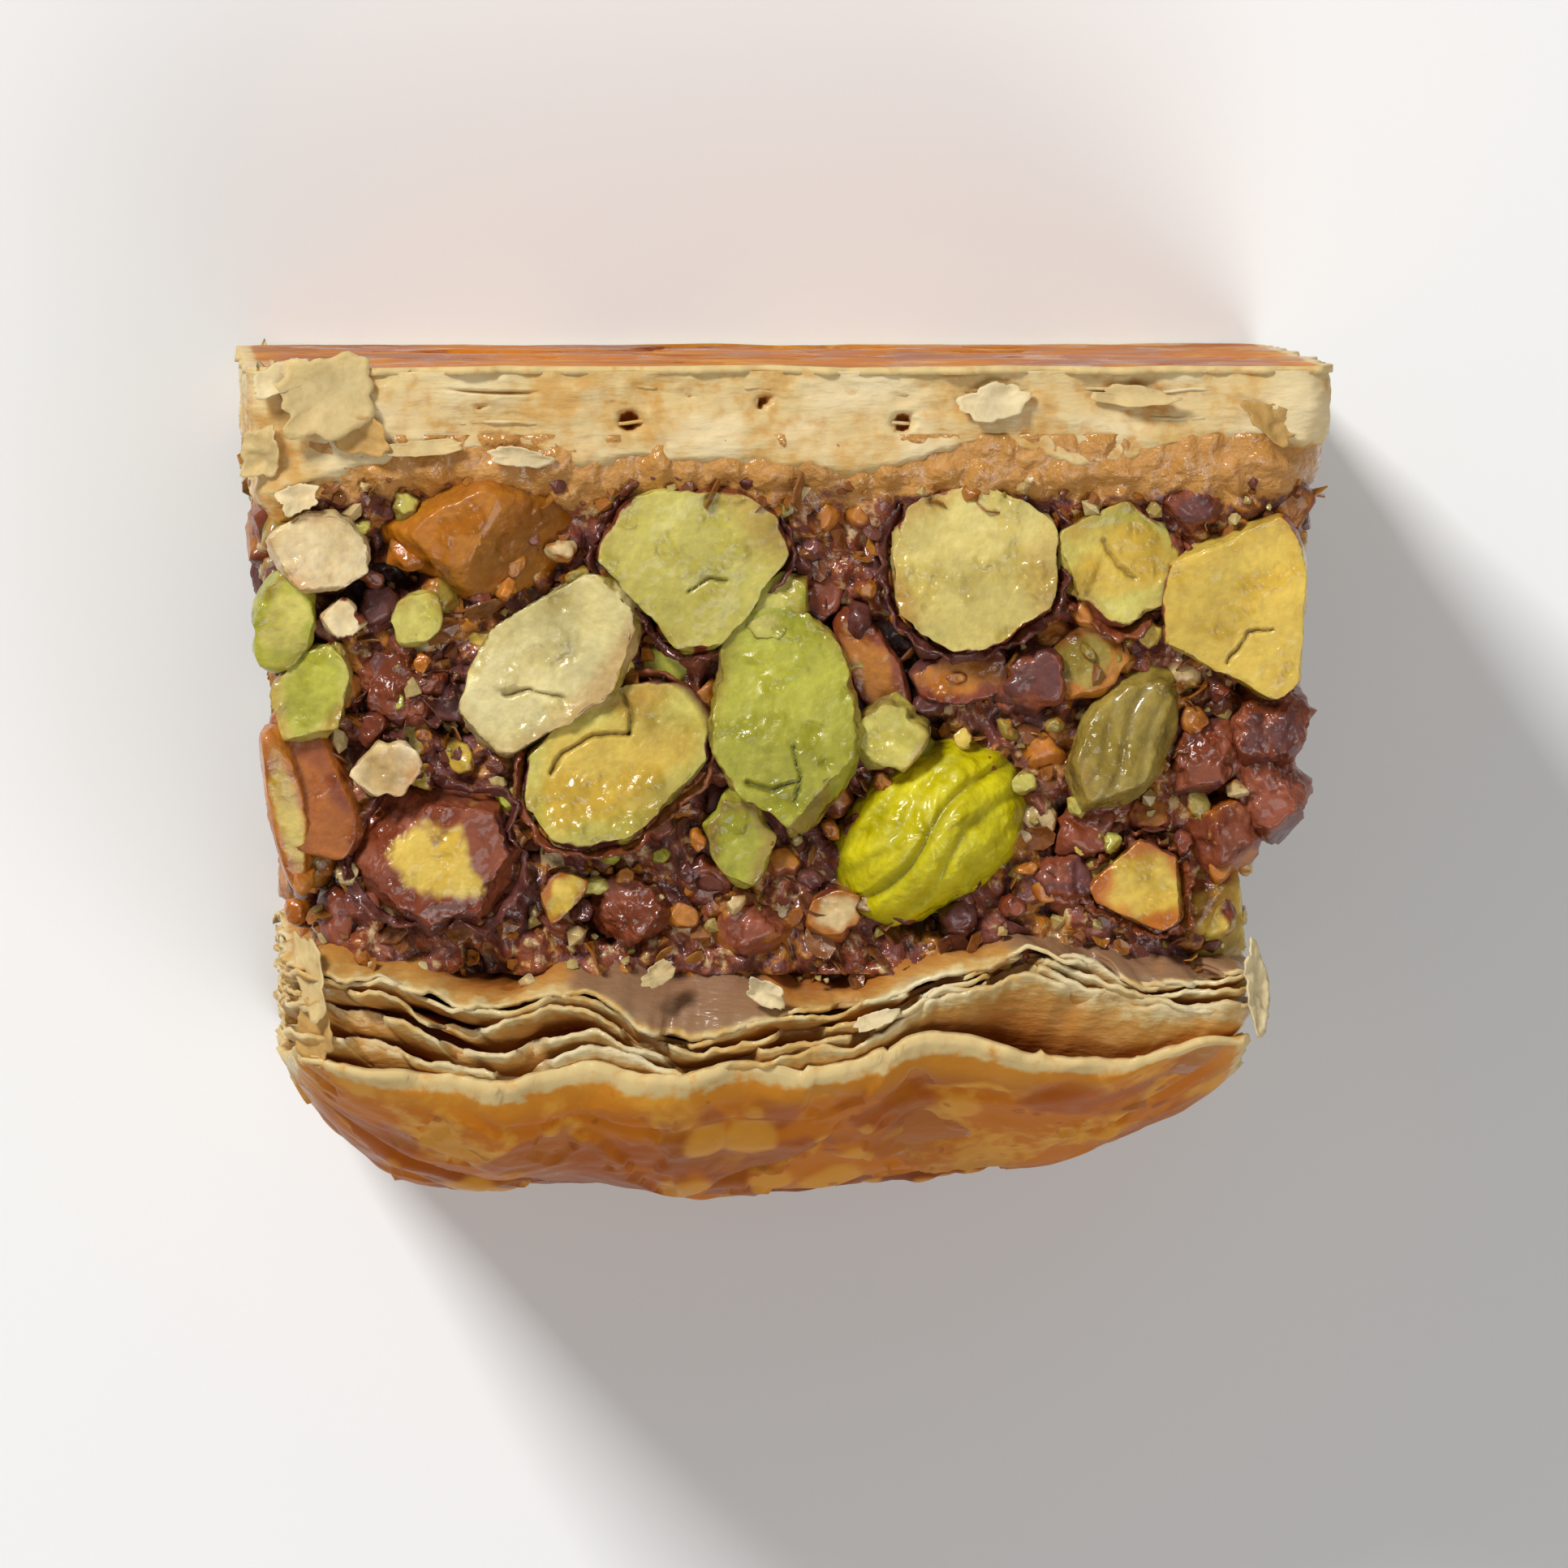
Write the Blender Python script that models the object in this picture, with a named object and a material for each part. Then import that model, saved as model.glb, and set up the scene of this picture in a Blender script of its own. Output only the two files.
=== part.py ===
"""A square-cut piece of pistachio baklava, lying on one of its four cut sides.

Three solids are stacked along Y: the pressed base pastry faces +Y, the nut filling lies in the middle, and the
puffed top pastry with its domed, glazed outer leaf faces -Y. One cut side faces +Z, and the opposite cut side is
flat and rests on the ground at Z = 0. Run it with: blender --background --python part.py
"""

import bmesh
import bpy
from mathutils import Vector, noise

# Sizes in metres. The stack is measured from the outer face of the base pastry, at +Y, towards -Y.
HEIGHT = 0.0336
BASE_WIDTH = 0.0434
TOP_WIDTH = 0.0388
BASE_DEPTH = 0.0350
TOP_DEPTH = 0.0325
TOP_SIDE_SHIFT = -0.0007  # the top pastry sits a little to the left of the base

BASE_THICKNESS = 0.0042
TOP_EDGE_THICKNESS = 0.0050
DOME_RISE = 0.0055
CLEARANCE = 0.0003  # between neighbouring solids

FILLING_START = BASE_THICKNESS + CLEARANCE
TOP_START = HEIGHT - DOME_RISE - TOP_EDGE_THICKNESS
FILLING_END = TOP_START - CLEARANCE

CELLS_ACROSS = 30
CELLS_DEEP = 24
BASE_LAYERS = 3
FILLING_LAYERS = 13
TOP_LAYERS = 4

NUT_SPACING = 0.0050
NUT_RELIEF = 0.0008
LEAF_RAGGEDNESS = 0.00025
LEAF_GRAIN = 0.0012
INTERFACE_WAVE = 0.0005
INTERFACE_WAVELENGTH = 0.0075
DENT_DEPTH = 0.0007
DENT_SIZE = 0.0085
FLAT = 1e-5  # tolerance of a face that counts as flat


def mix(low, high, share):
    return low + (high - low) * share


def smooth_step(value):
    value = min(1.0, max(0.0, value))
    return value * value * (3.0 - 2.0 * value)


def half_width(stack):
    """Half the width of the piece at a distance along the stack: it narrows from the base to the top pastry."""
    return mix(BASE_WIDTH, TOP_WIDTH, smooth_step(stack / TOP_START)) / 2


def depth(stack):
    return mix(BASE_DEPTH, TOP_DEPTH, min(1.0, stack / TOP_START))


def side_shift(stack):
    return TOP_SIDE_SHIFT * smooth_step(stack / TOP_START)


def dome(across, deep):
    """Share of the dome's rise over the top pastry, 0 along its four cut edges. The belly lies left of the middle."""
    leaning = across + 0.2 * (1 - across * across)
    centred = 2 * deep - 1
    return max(0.0, 1 - leaning**4) ** 0.8 * max(0.0, 1 - abs(centred) ** 2.6) ** 0.7


def dents(across, deep):
    """Soft hollows and blisters of the outer leaf, deepest away from the cut edges."""
    spot = Vector((across * TOP_WIDTH / 2, deep * TOP_DEPTH, 0.011)) / DENT_SIZE
    return DENT_DEPTH * noise.noise(spot) * (0.4 + 0.6 * dome(across, deep))


def leaf_line(across, deep):
    """Where the innermost leaf of the top pastry runs over the nuts."""
    spot = Vector((across * TOP_WIDTH / 2, deep * TOP_DEPTH, 0.037)) / INTERFACE_WAVELENGTH
    return INTERFACE_WAVE * noise.noise(spot)


def nut_relief(point):
    """Height of the lumps that the chopped nuts make on a cut side."""
    nearest, second = noise.voronoi(point / NUT_SPACING)[0][:2]
    return NUT_RELIEF * (smooth_step((second - nearest) * 2.2) - 0.5)


def leaf_relief(point):
    """Raggedness of the leaves on a cut side: it changes quickly along the stack and slowly along a leaf."""
    spot = Vector((point.x / (4 * LEAF_GRAIN), point.y / LEAF_GRAIN, point.z / (4 * LEAF_GRAIN)))
    return LEAF_RAGGEDNESS * noise.noise(spot)


def divided_block(cells_across, layers, cells_deep):
    """A cube from -1 to 1 along X and 0 to 1 along Y and Z, cut into that many cells along each axis."""
    block = bmesh.new()
    bmesh.ops.create_cube(block, size=2.0)
    for vertex in block.verts:
        vertex.co = Vector((vertex.co.x, (vertex.co.y + 1) / 2, (vertex.co.z + 1) / 2))
    for axis, cells, start, length in ((0, cells_across, -1, 2), (1, layers, 0, 1), (2, cells_deep, 0, 1)):
        normal = Vector([float(axis == k) for k in range(3)])
        for cut in range(1, cells):
            everything = block.verts[:] + block.edges[:] + block.faces[:]
            at = normal * (start + length * cut / cells)
            bmesh.ops.bisect_plane(block, geom=everything, plane_co=at, plane_no=normal, dist=1e-7)
    return block


def food_material(name, colour, roughness):
    material = bpy.data.materials.new(name)
    material.use_nodes = True
    shader = material.node_tree.nodes["Principled BSDF"]
    shader.inputs["Base Color"].default_value = (*colour, 1.0)
    shader.inputs["Roughness"].default_value = roughness
    shader.inputs["Metallic"].default_value = 0.0
    return material


def layer(name, layers, near, far, relief, material):
    """One solid of the stack. near and far give its two faces' distance along the stack at (across, deep)."""
    block = divided_block(CELLS_ACROSS, layers, CELLS_DEEP)
    for vertex in block.verts:
        across, share, deep = vertex.co
        stack = mix(near(across, deep), far(across, deep), share)
        place = Vector((
            side_shift(stack) + across * half_width(stack),
            HEIGHT / 2 - stack,
            deep * depth(stack),
        ))
        rough = relief(place)
        if abs(across) > 1 - FLAT:
            place.x += rough if across > 0 else -rough
        if deep > 1 - FLAT:
            place.z += rough
        vertex.co = place
    block.normal_update()
    bmesh.ops.recalc_face_normals(block, faces=block.faces)
    bmesh.ops.dissolve_limit(block, angle_limit=1e-4, verts=block.verts, edges=block.edges)
    mesh = bpy.data.meshes.new(name)
    block.to_mesh(mesh)
    block.free()
    mesh.materials.append(material)
    mesh.shade_smooth()
    mesh.set_sharp_from_angle(angle=0.7)
    solid = bpy.data.objects.new(name, mesh)
    bpy.context.scene.collection.objects.link(solid)
    return solid


def base_pastry():
    """The pressed, syrup-soaked bottom leaves: a flat slab."""
    return layer(
        "base_pastry",
        BASE_LAYERS,
        near=lambda across, deep: 0.0,
        far=lambda across, deep: BASE_THICKNESS,
        relief=leaf_relief,
        material=food_material("base_pastry", (0.62, 0.41, 0.17), 0.55),
    )


def nut_filling():
    """Chopped pistachios bound with syrup, solid out to the lumpy outline of its cut sides."""
    return layer(
        "nut_filling",
        FILLING_LAYERS,
        near=lambda across, deep: FILLING_START,
        far=lambda across, deep: FILLING_END + leaf_line(across, deep),
        relief=nut_relief,
        material=food_material("nut_filling", (0.36, 0.27, 0.07), 0.4),
    )


def top_pastry():
    """The puffed top leaves, pinched along the four cut edges and domed between them."""
    return layer(
        "top_pastry",
        TOP_LAYERS,
        near=lambda across, deep: TOP_START + leaf_line(across, deep),
        far=lambda across, deep: (
            TOP_START + TOP_EDGE_THICKNESS + DOME_RISE * dome(across, deep) + dents(across, deep)
        ),
        relief=leaf_relief,
        material=food_material("top_pastry", (0.51, 0.25, 0.06), 0.25),
    )


def centre_on_ground(solids):
    """Moves the stack so that its box is centred on the Z axis and its cut side rests at Z = 0."""
    corners = [vertex.co for solid in solids for vertex in solid.data.vertices]
    low = [min(corner[k] for corner in corners) for k in range(3)]
    high = [max(corner[k] for corner in corners) for k in range(3)]
    for solid in solids:
        solid.location = (-(low[0] + high[0]) / 2, -(low[1] + high[1]) / 2, -low[2])


for leftover in list(bpy.data.objects):
    bpy.data.objects.remove(leftover)
centre_on_ground([base_pastry(), nut_filling(), top_pastry()])
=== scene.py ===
"""Looks of a square-cut piece of pistachio baklava that lies on one cut side, with the opposite cut side up.

The pressed base pastry faces +Y, the chopped nut filling lies in the middle, and the puffed top pastry with its
glazed outer leaf faces -Y. Lengths are in metres. A place on the piece is given by three numbers: across, from
-1 at the left cut side to 1 at the right one; deep, from 0 at the ground to 1 at the cut side that faces up; and
the distance along Y.
"""
import itertools
import math

import bmesh
import bpy
import numpy as np
from mathutils import Matrix, Vector


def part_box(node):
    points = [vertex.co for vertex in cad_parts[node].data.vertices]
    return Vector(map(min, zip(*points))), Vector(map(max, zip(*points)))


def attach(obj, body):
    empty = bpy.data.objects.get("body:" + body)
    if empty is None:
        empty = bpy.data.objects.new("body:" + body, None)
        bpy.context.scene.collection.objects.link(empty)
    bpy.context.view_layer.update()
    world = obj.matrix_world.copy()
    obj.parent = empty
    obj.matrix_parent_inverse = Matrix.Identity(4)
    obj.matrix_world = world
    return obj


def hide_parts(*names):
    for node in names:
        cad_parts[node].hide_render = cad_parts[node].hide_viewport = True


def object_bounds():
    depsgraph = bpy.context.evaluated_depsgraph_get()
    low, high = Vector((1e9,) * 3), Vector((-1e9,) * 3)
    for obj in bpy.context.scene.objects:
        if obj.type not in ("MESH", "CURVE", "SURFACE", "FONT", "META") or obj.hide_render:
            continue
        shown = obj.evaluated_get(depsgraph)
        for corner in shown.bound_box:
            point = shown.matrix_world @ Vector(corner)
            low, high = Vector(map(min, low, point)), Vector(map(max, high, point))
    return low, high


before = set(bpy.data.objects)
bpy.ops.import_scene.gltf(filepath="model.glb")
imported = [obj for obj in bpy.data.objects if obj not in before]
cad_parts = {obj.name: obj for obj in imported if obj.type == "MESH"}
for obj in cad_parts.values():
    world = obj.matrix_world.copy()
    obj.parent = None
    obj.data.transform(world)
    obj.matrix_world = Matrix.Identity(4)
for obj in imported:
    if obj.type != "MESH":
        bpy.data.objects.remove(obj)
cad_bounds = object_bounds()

MM = 0.001
BASE_LOW, BASE_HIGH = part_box("base_pastry")
FILLING_LOW, FILLING_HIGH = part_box("nut_filling")
TOP_LOW, TOP_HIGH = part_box("top_pastry")

# The cut sides taper from the base pastry to the top pastry. The boxes include the raggedness of the cut sides.
RELIEF = 0.3 * MM
BASE_CENTRE = (BASE_LOW.x + BASE_HIGH.x) / 2
TOP_CENTRE = (TOP_LOW.x + TOP_HIGH.x) / 2
BASE_HALF_WIDTH = (BASE_HIGH.x - BASE_LOW.x) / 2 - RELIEF
TOP_HALF_WIDTH = (TOP_HIGH.x - TOP_LOW.x) / 2 - RELIEF
BASE_DEPTH = BASE_HIGH.z - RELIEF
TOP_DEPTH = TOP_HIGH.z - RELIEF
TAPER_START = BASE_HIGH.y
TAPER_END = FILLING_LOW.y
DOME_RISE = 5.5 * MM
TOP_RIM = TOP_LOW.y + DOME_RISE  # where the outer leaf meets the cut sides
CORNER = 1.3 * MM  # radius of the corners between the cut sides


def srgb(red, green, blue):
    """A colour named by its display values from 0 to 255, turned to linear light."""
    shares = [value / 255 for value in (red, green, blue)]
    return tuple(s / 12.92 if s <= 0.04045 else ((s + 0.055) / 1.055) ** 2.4 for s in shares)


WHITE_LEAF = srgb(226, 204, 158)
CREAM_LEAF = srgb(212, 184, 128)
PALE_LEAF = srgb(202, 158, 90)
TAN_LEAF = srgb(194, 138, 66)
AMBER_LEAF = srgb(172, 100, 36)
STAINED_LEAF = srgb(140, 104, 78)
GOLDEN_CRUST = srgb(194, 110, 22)
PALE_CRUST = srgb(216, 150, 54)
AMBER_CRUST = srgb(160, 78, 18)
TOASTED_CRUST = srgb(116, 48, 10)

PALE_FLESH = srgb(208, 190, 112)
CREAM_FLESH = srgb(212, 198, 142)
YELLOW_GREEN = srgb(196, 184, 92)
LEAF_GREEN = srgb(172, 168, 56)
BRIGHT_GREEN = srgb(204, 192, 2)
KHAKI = srgb(160, 138, 58)
YELLOW_FLESH = srgb(208, 178, 76)
CARAMEL = srgb(176, 112, 32)
HONEY = srgb(174, 110, 18)
ORANGE = srgb(190, 120, 40)
PURPLE_SKIN = srgb(106, 56, 48)
RED_BROWN = srgb(138, 70, 40)
HOLLOW_SHADE_BROWN = srgb(58, 24, 14)
BEIGE = srgb(204, 178, 128)


# --- Smooth noise ---------------------------------------------------------------------------------------------


def mix(low, high, share):
    return low + (high - low) * share


def smooth_step(value):
    value = np.clip(value, 0.0, 1.0)
    return value * value * (3.0 - 2.0 * value)


def lattice(cells, seed):
    """Repeatable numbers from -1 to 1 for whole-numbered cells."""
    mixed = cells[..., 0] * 374761393 + cells[..., 1] * 668265263 + cells[..., 2] * 1442695041 + seed * 1274126177
    mixed = (mixed ^ (mixed >> 13)) * 1103515245
    mixed = (mixed ^ (mixed >> 17)) * 668265263
    mixed ^= mixed >> 15
    return (mixed & 0xFFFFFF) / float(0x7FFFFF) - 1.0


def lumps(points, size, seed=0):
    """Smooth noise from about -1 to 1, whose lumps are as large as size."""
    scaled = np.asarray(points, float) / size
    cell = np.floor(scaled)
    part = scaled - cell
    cell = cell.astype(np.int64)
    fade = part**3 * (part * (part * 6 - 15) + 10)
    total = np.zeros(scaled.shape[:-1])
    for corner in itertools.product((0, 1), repeat=3):
        at = cell + np.array(corner)
        offset = part - corner
        slope = sum(lattice(at, seed * 3 + k) * offset[..., k] for k in range(3))
        weight = np.prod(np.where(np.array(corner) == 1, fade, 1 - fade), axis=-1)
        total += weight * slope
    return total * 1.6


def crumble(points, size, seed=0, octaves=3):
    """Noise with ever finer lumps on larger ones."""
    return sum(lumps(points, size / 2**k, seed + 7 * k) / 2**k for k in range(octaves)) / 1.6


def pebbles(points, size, seed=0):
    """Distances to the nearest and second nearest of scattered points about size apart, in units of size."""
    scaled = np.asarray(points, float) / size
    cell = np.floor(scaled).astype(np.int64)
    near = np.full(scaled.shape[:-1], 9.0)
    second = near.copy()
    for step in itertools.product((-1, 0, 1), repeat=3):
        at = cell + np.array(step)
        spot = at + 0.5 + 0.45 * np.stack([lattice(at, seed * 3 + k) for k in range(3)], axis=-1)
        distance = np.linalg.norm(scaled - spot, axis=-1)
        second = np.minimum(second, np.maximum(near, distance))
        near = np.minimum(near, distance)
    return near, second


# --- Meshes ---------------------------------------------------------------------------------------------------


def make_piece(name, points, faces, material, shares=None, tints=None):
    """A smooth-shaded object. shares are named numbers for each point, tints named colours for each point."""
    mesh = bpy.data.meshes.new(name)
    points = np.array(points, float)
    points[:, 2] = np.where(points[:, 2] < 0, 0.1 * points[:, 2], points[:, 2])  # it rests on the ground
    mesh.from_pydata(points.tolist(), [], [list(face) for face in faces])
    for label, values in (shares or {}).items():
        mesh.attributes.new(label, "FLOAT", "POINT").data.foreach_set("value", np.asarray(values, np.float32))
    for label, colours in (tints or {}).items():
        colours = np.column_stack([colours, np.ones(len(colours))]).astype(np.float32)
        mesh.attributes.new(label, "FLOAT_COLOR", "POINT").data.foreach_set("color", colours.ravel())
    mesh.materials.append(material)
    mesh.shade_smooth()
    piece = bpy.data.objects.new(name, mesh)
    bpy.context.scene.collection.objects.link(piece)
    return piece


def grid_faces(rows, columns, closed):
    """Quads between the points of a grid, stored row by row. A closed grid joins its last column to its first."""
    row, column = np.meshgrid(np.arange(rows - 1), np.arange(columns if closed else columns - 1), indexing="ij")
    row, column = row.ravel(), column.ravel()
    after = (column + 1) % columns
    corners = row * columns + column, row * columns + after, (row + 1) * columns + after, (row + 1) * columns + column
    return np.stack(corners, axis=1)


def outwards(piece):
    """Turns every face of a closed mesh outwards."""
    mesh = bmesh.new()
    mesh.from_mesh(piece.data)
    bmesh.ops.recalc_face_normals(mesh, faces=mesh.faces)
    mesh.to_mesh(piece.data)
    mesh.free()
    return piece


# --- The outline of the piece ---------------------------------------------------------------------------------


def taper(y):
    """Centre, half width and depth of the piece at a place along Y."""
    share = np.clip((TAPER_START - y) / (TAPER_START - TAPER_END), 0, 1)
    bend = smooth_step(share)
    centre = mix(BASE_CENTRE, TOP_CENTRE, bend)
    return centre, mix(BASE_HALF_WIDTH, TOP_HALF_WIDTH, bend), mix(BASE_DEPTH, TOP_DEPTH, share)


def place(across, deep, y):
    """Points of the piece at across, deep and y."""
    centre, half_width, depth = taper(y)
    return np.stack(np.broadcast_arrays(centre + across * half_width, y, deep * depth), axis=-1)


def dome(across, deep):
    """Share of the dome's rise over the top pastry. Its belly lies left of the middle."""
    leaning = across + 0.2 * (1 - across * across)
    across_share = np.maximum(0, 1 - leaning**4) ** 0.8
    return across_share * np.maximum(0, 1 - np.abs(2 * deep - 1) ** 2.6) ** 0.7


def cut_outline(columns):
    """Points round the four cut sides, evenly spaced: across, deep and the outward direction."""
    half_x = (BASE_HALF_WIDTH + TOP_HALF_WIDTH) / 2
    half_z = (BASE_DEPTH + TOP_DEPTH) / 4
    corner_steps = 12
    path = []
    for side_x, side_z, start in ((1, 1, 90), (1, -1, 0), (-1, -1, -90), (-1, 1, -180)):
        for step in range(corner_steps + 1):
            angle = math.radians(start - 90 * step / corner_steps)
            path.append((
                side_x * (half_x - CORNER) + CORNER * math.cos(angle),
                side_z * (half_z - CORNER) + CORNER * math.sin(angle),
            ))
    path.append(path[0])
    path = np.array(path)
    travelled = np.concatenate([[0], np.cumsum(np.linalg.norm(np.diff(path, axis=0), axis=1))])
    stops = np.linspace(0, travelled[-1], columns, endpoint=False)
    x, z = (np.interp(stops, travelled, path[:, k]) for k in range(2))
    run_x, run_z = (np.roll(v, -1) - np.roll(v, 1) for v in (x, z))
    length = np.hypot(run_x, run_z)
    return x / half_x, (z / half_z + 1) / 2, np.stack([-run_z, np.zeros(columns), run_x], axis=1) / length[:, None]


# --- Node trees -----------------------------------------------------------------------------------------------


class Value:
    """A number, vector or colour inside a node tree. Plain arithmetic on it adds Math nodes."""

    def __init__(self, graph, socket):
        self.graph, self.socket = graph, socket

    def __add__(self, other):
        return self.graph.math("ADD", self, other)

    def __radd__(self, other):
        return self.graph.math("ADD", other, self)

    def __sub__(self, other):
        return self.graph.math("SUBTRACT", self, other)

    def __rsub__(self, other):
        return self.graph.math("SUBTRACT", other, self)

    def __mul__(self, other):
        return self.graph.math("MULTIPLY", self, other)

    def __rmul__(self, other):
        return self.graph.math("MULTIPLY", other, self)

    def __truediv__(self, other):
        return self.graph.math("DIVIDE", self, other)

    def __rtruediv__(self, other):
        return self.graph.math("DIVIDE", other, self)


class Graph:
    """Builds a node tree from formulas."""

    def __init__(self, tree):
        self.tree = tree

    def add(self, kind, sockets=None, out=0, **settings):
        """Adds a node, fills its sockets by name or place, and returns one of its outputs."""
        node = self.tree.nodes.new(kind)
        for name, value in settings.items():
            setattr(node, name, value)
        usable = [socket for socket in node.inputs if socket.enabled]
        for key, value in (sockets or {}).items():
            found = usable[key] if isinstance(key, int) else next(s for s in usable if s.name == key)
            self.fill(found, value)
        results = [socket for socket in node.outputs if socket.enabled]
        result = results[out] if isinstance(out, int) else next(s for s in results if s.name == out)
        return Value(self, result)

    def fill(self, socket, value):
        if isinstance(value, Value):
            self.tree.links.new(value.socket, socket)
        elif isinstance(value, tuple) and socket.type == "RGBA":
            socket.default_value = (*value[:3], 1.0)
        else:
            socket.default_value = value

    def math(self, operation, *values):
        return self.add("ShaderNodeMath", dict(enumerate(values)), operation=operation)

    def vector(self, operation, *values):
        return self.add("ShaderNodeVectorMath", dict(enumerate(values)), operation=operation)

    def blend(self, share, low, high):
        """A mix of two colours."""
        return self.add("ShaderNodeMix", {"Factor": share, "A": low, "B": high}, data_type="RGBA")

    def noise(self, where, size, detail=2.0, w=None, distortion=0.0):
        """Noise from 0 to 1 whose lumps are as large as size."""
        sockets = {"Vector": where, "Scale": 1 / size, "Detail": detail, "Distortion": distortion}
        if w is not None:
            sockets["W"] = w
        return self.add("ShaderNodeTexNoise", sockets, noise_dimensions="3D" if w is None else "4D")

    def step(self, value, start, end):
        """0 below start, 1 above end, and a smooth rise between."""
        sockets = {"Value": value, "From Min": start, "From Max": end}
        return self.add("ShaderNodeMapRange", sockets, interpolation_type="SMOOTHSTEP")

    def separate(self, vector):
        node = self.add("ShaderNodeSeparateXYZ", {0: vector}).socket.node
        return [Value(self, socket) for socket in node.outputs]


def tree_with_inputs(name, inputs):
    """A Geometry Nodes tree that takes a mesh and the named inputs, as a graph and the inputs' values."""
    tree = bpy.data.node_groups.new(name, "GeometryNodeTree")
    kinds = {float: "NodeSocketFloat", int: "NodeSocketInt", tuple: "NodeSocketVector"}
    tree.interface.new_socket("Geometry", in_out="INPUT", socket_type="NodeSocketGeometry")
    for label, default in inputs.items():
        kind = default if isinstance(default, str) else kinds[type(default)]
        if label.endswith("Tint"):
            kind, default = "NodeSocketColor", (*default, 1.0)
        socket = tree.interface.new_socket(label, in_out="INPUT", socket_type=kind)
        if not isinstance(default, str):
            socket.default_value = default
    tree.interface.new_socket("Geometry", in_out="OUTPUT", socket_type="NodeSocketGeometry")
    graph = Graph(tree)
    source = tree.nodes.new("NodeGroupInput")
    return graph, {socket.name: Value(graph, socket) for socket in source.outputs if socket.name}


def finish_tree(graph, geometry):
    """Ends a tree in its output."""
    outlet = graph.tree.nodes.new("NodeGroupOutput")
    graph.tree.links.new(geometry.socket, outlet.inputs[0])
    return graph.tree


def apply_tree(piece, tree, **settings):
    """Runs a tree on a piece with the given inputs and keeps the result as a plain mesh."""
    modifier = piece.modifiers.new("Nodes", "NODES")
    modifier.node_group = tree
    identifiers = {item.name: item.identifier for item in tree.interface.items_tree if item.in_out == "INPUT"}
    for label, value in settings.items():
        modifier[identifiers[label.replace("_", " ").title()]] = value
    graph = bpy.context.evaluated_depsgraph_get()
    result = bpy.data.meshes.new_from_object(piece.evaluated_get(graph))
    piece.modifiers.clear()
    piece.data = result
    result.name = piece.name
    result.shade_smooth()
    return piece


# --- Finishes -------------------------------------------------------------------------------------------------


def new_finish(name, coat=0.0, coat_roughness=0.1, subsurface=0.0):
    """A material whose uniform values are set, with its graph and its shader."""
    material = bpy.data.materials.new(name)
    material.use_nodes = True
    shader = material.node_tree.nodes["Principled BSDF"]
    shader.inputs["Coat Weight"].default_value = coat
    shader.inputs["Coat Roughness"].default_value = coat_roughness
    shader.inputs["Subsurface Weight"].default_value = subsurface
    shader.inputs["Subsurface Scale"].default_value = 2 * MM
    shader.inputs["Subsurface Radius"].default_value = (1.0, 0.5, 0.2)
    return material, Graph(material.node_tree), shader


def leaf_finish(name, specular=0.35):
    """Thin baked leaves: pale along the cut, tan and amber deeper inside, stained where the filling touched them."""
    material, graph, shader = new_finish(name, subsurface=0.15)
    shader.inputs["Specular IOR Level"].default_value = specular
    where = graph.add("ShaderNodeTexCoord", out="Object")
    rim = graph.add("ShaderNodeAttribute", out="Fac", attribute_name="rim")
    toast = graph.add("ShaderNodeAttribute", out="Fac", attribute_name="toast")
    stain = graph.add("ShaderNodeAttribute", out="Fac", attribute_name="stain")
    patches = graph.noise(where, 3.0 * MM, 3)
    fine = graph.noise(where, 0.6 * MM, 3)
    inside = graph.blend(graph.step(rim + (patches - 0.5) * 0.5, 0.3, 1.0), AMBER_LEAF, TAN_LEAF)
    fibres = graph.noise(graph.vector("MULTIPLY", where, (1.0, 3.0, 0.35)), 0.7 * MM, 3)
    inside = graph.blend(graph.step(rim * 0.3 + fibres, 0.65, 0.95) * 0.5, inside, PALE_LEAF)
    # The toast and shade share browns the leaves: their own baked colour, and painted shade in the base's slits and
    # pits and on the wall behind the puffed leaves.
    toast_and_shade_tint = graph.blend(graph.step(toast + (patches - 0.5) * 0.8, 0.4, 1.0), PALE_LEAF, TAN_LEAF)
    edge = graph.blend(graph.step(fine + patches, 0.75, 1.15), toast_and_shade_tint, CREAM_LEAF)
    edge = graph.blend(graph.step(rim + (patches - 0.5) * 0.5, 0.95, 1.1), edge, WHITE_LEAF)
    colour = graph.blend(graph.step(rim + (fine - 0.5) * 0.3, 0.84, 0.97), inside, edge)
    colour = graph.blend(graph.step(toast + (fine - 0.5) * 0.2, 0.75, 1.05), colour, AMBER_LEAF)
    soaked = graph.step(stain + (patches - 0.5) * 0.9 + (fine - 0.5) * 0.3, 0.4, 0.7) * (1 - graph.step(rim, 0.93, 1.0))
    colour = graph.blend(soaked * 0.9, colour, STAINED_LEAF)
    graph.fill(shader.inputs["Base Color"], colour)
    wet = graph.step(graph.noise(where, 1.4 * MM, 2) + soaked * 0.1, 0.54, 0.60)
    graph.fill(shader.inputs["Roughness"], 0.6 - wet * 0.35)
    bump = graph.add("ShaderNodeBump", {"Strength": 0.5, "Distance": 0.15 * MM, "Height": fine * 0.5 + fibres})
    graph.fill(shader.inputs["Normal"], bump)
    return material


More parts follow.
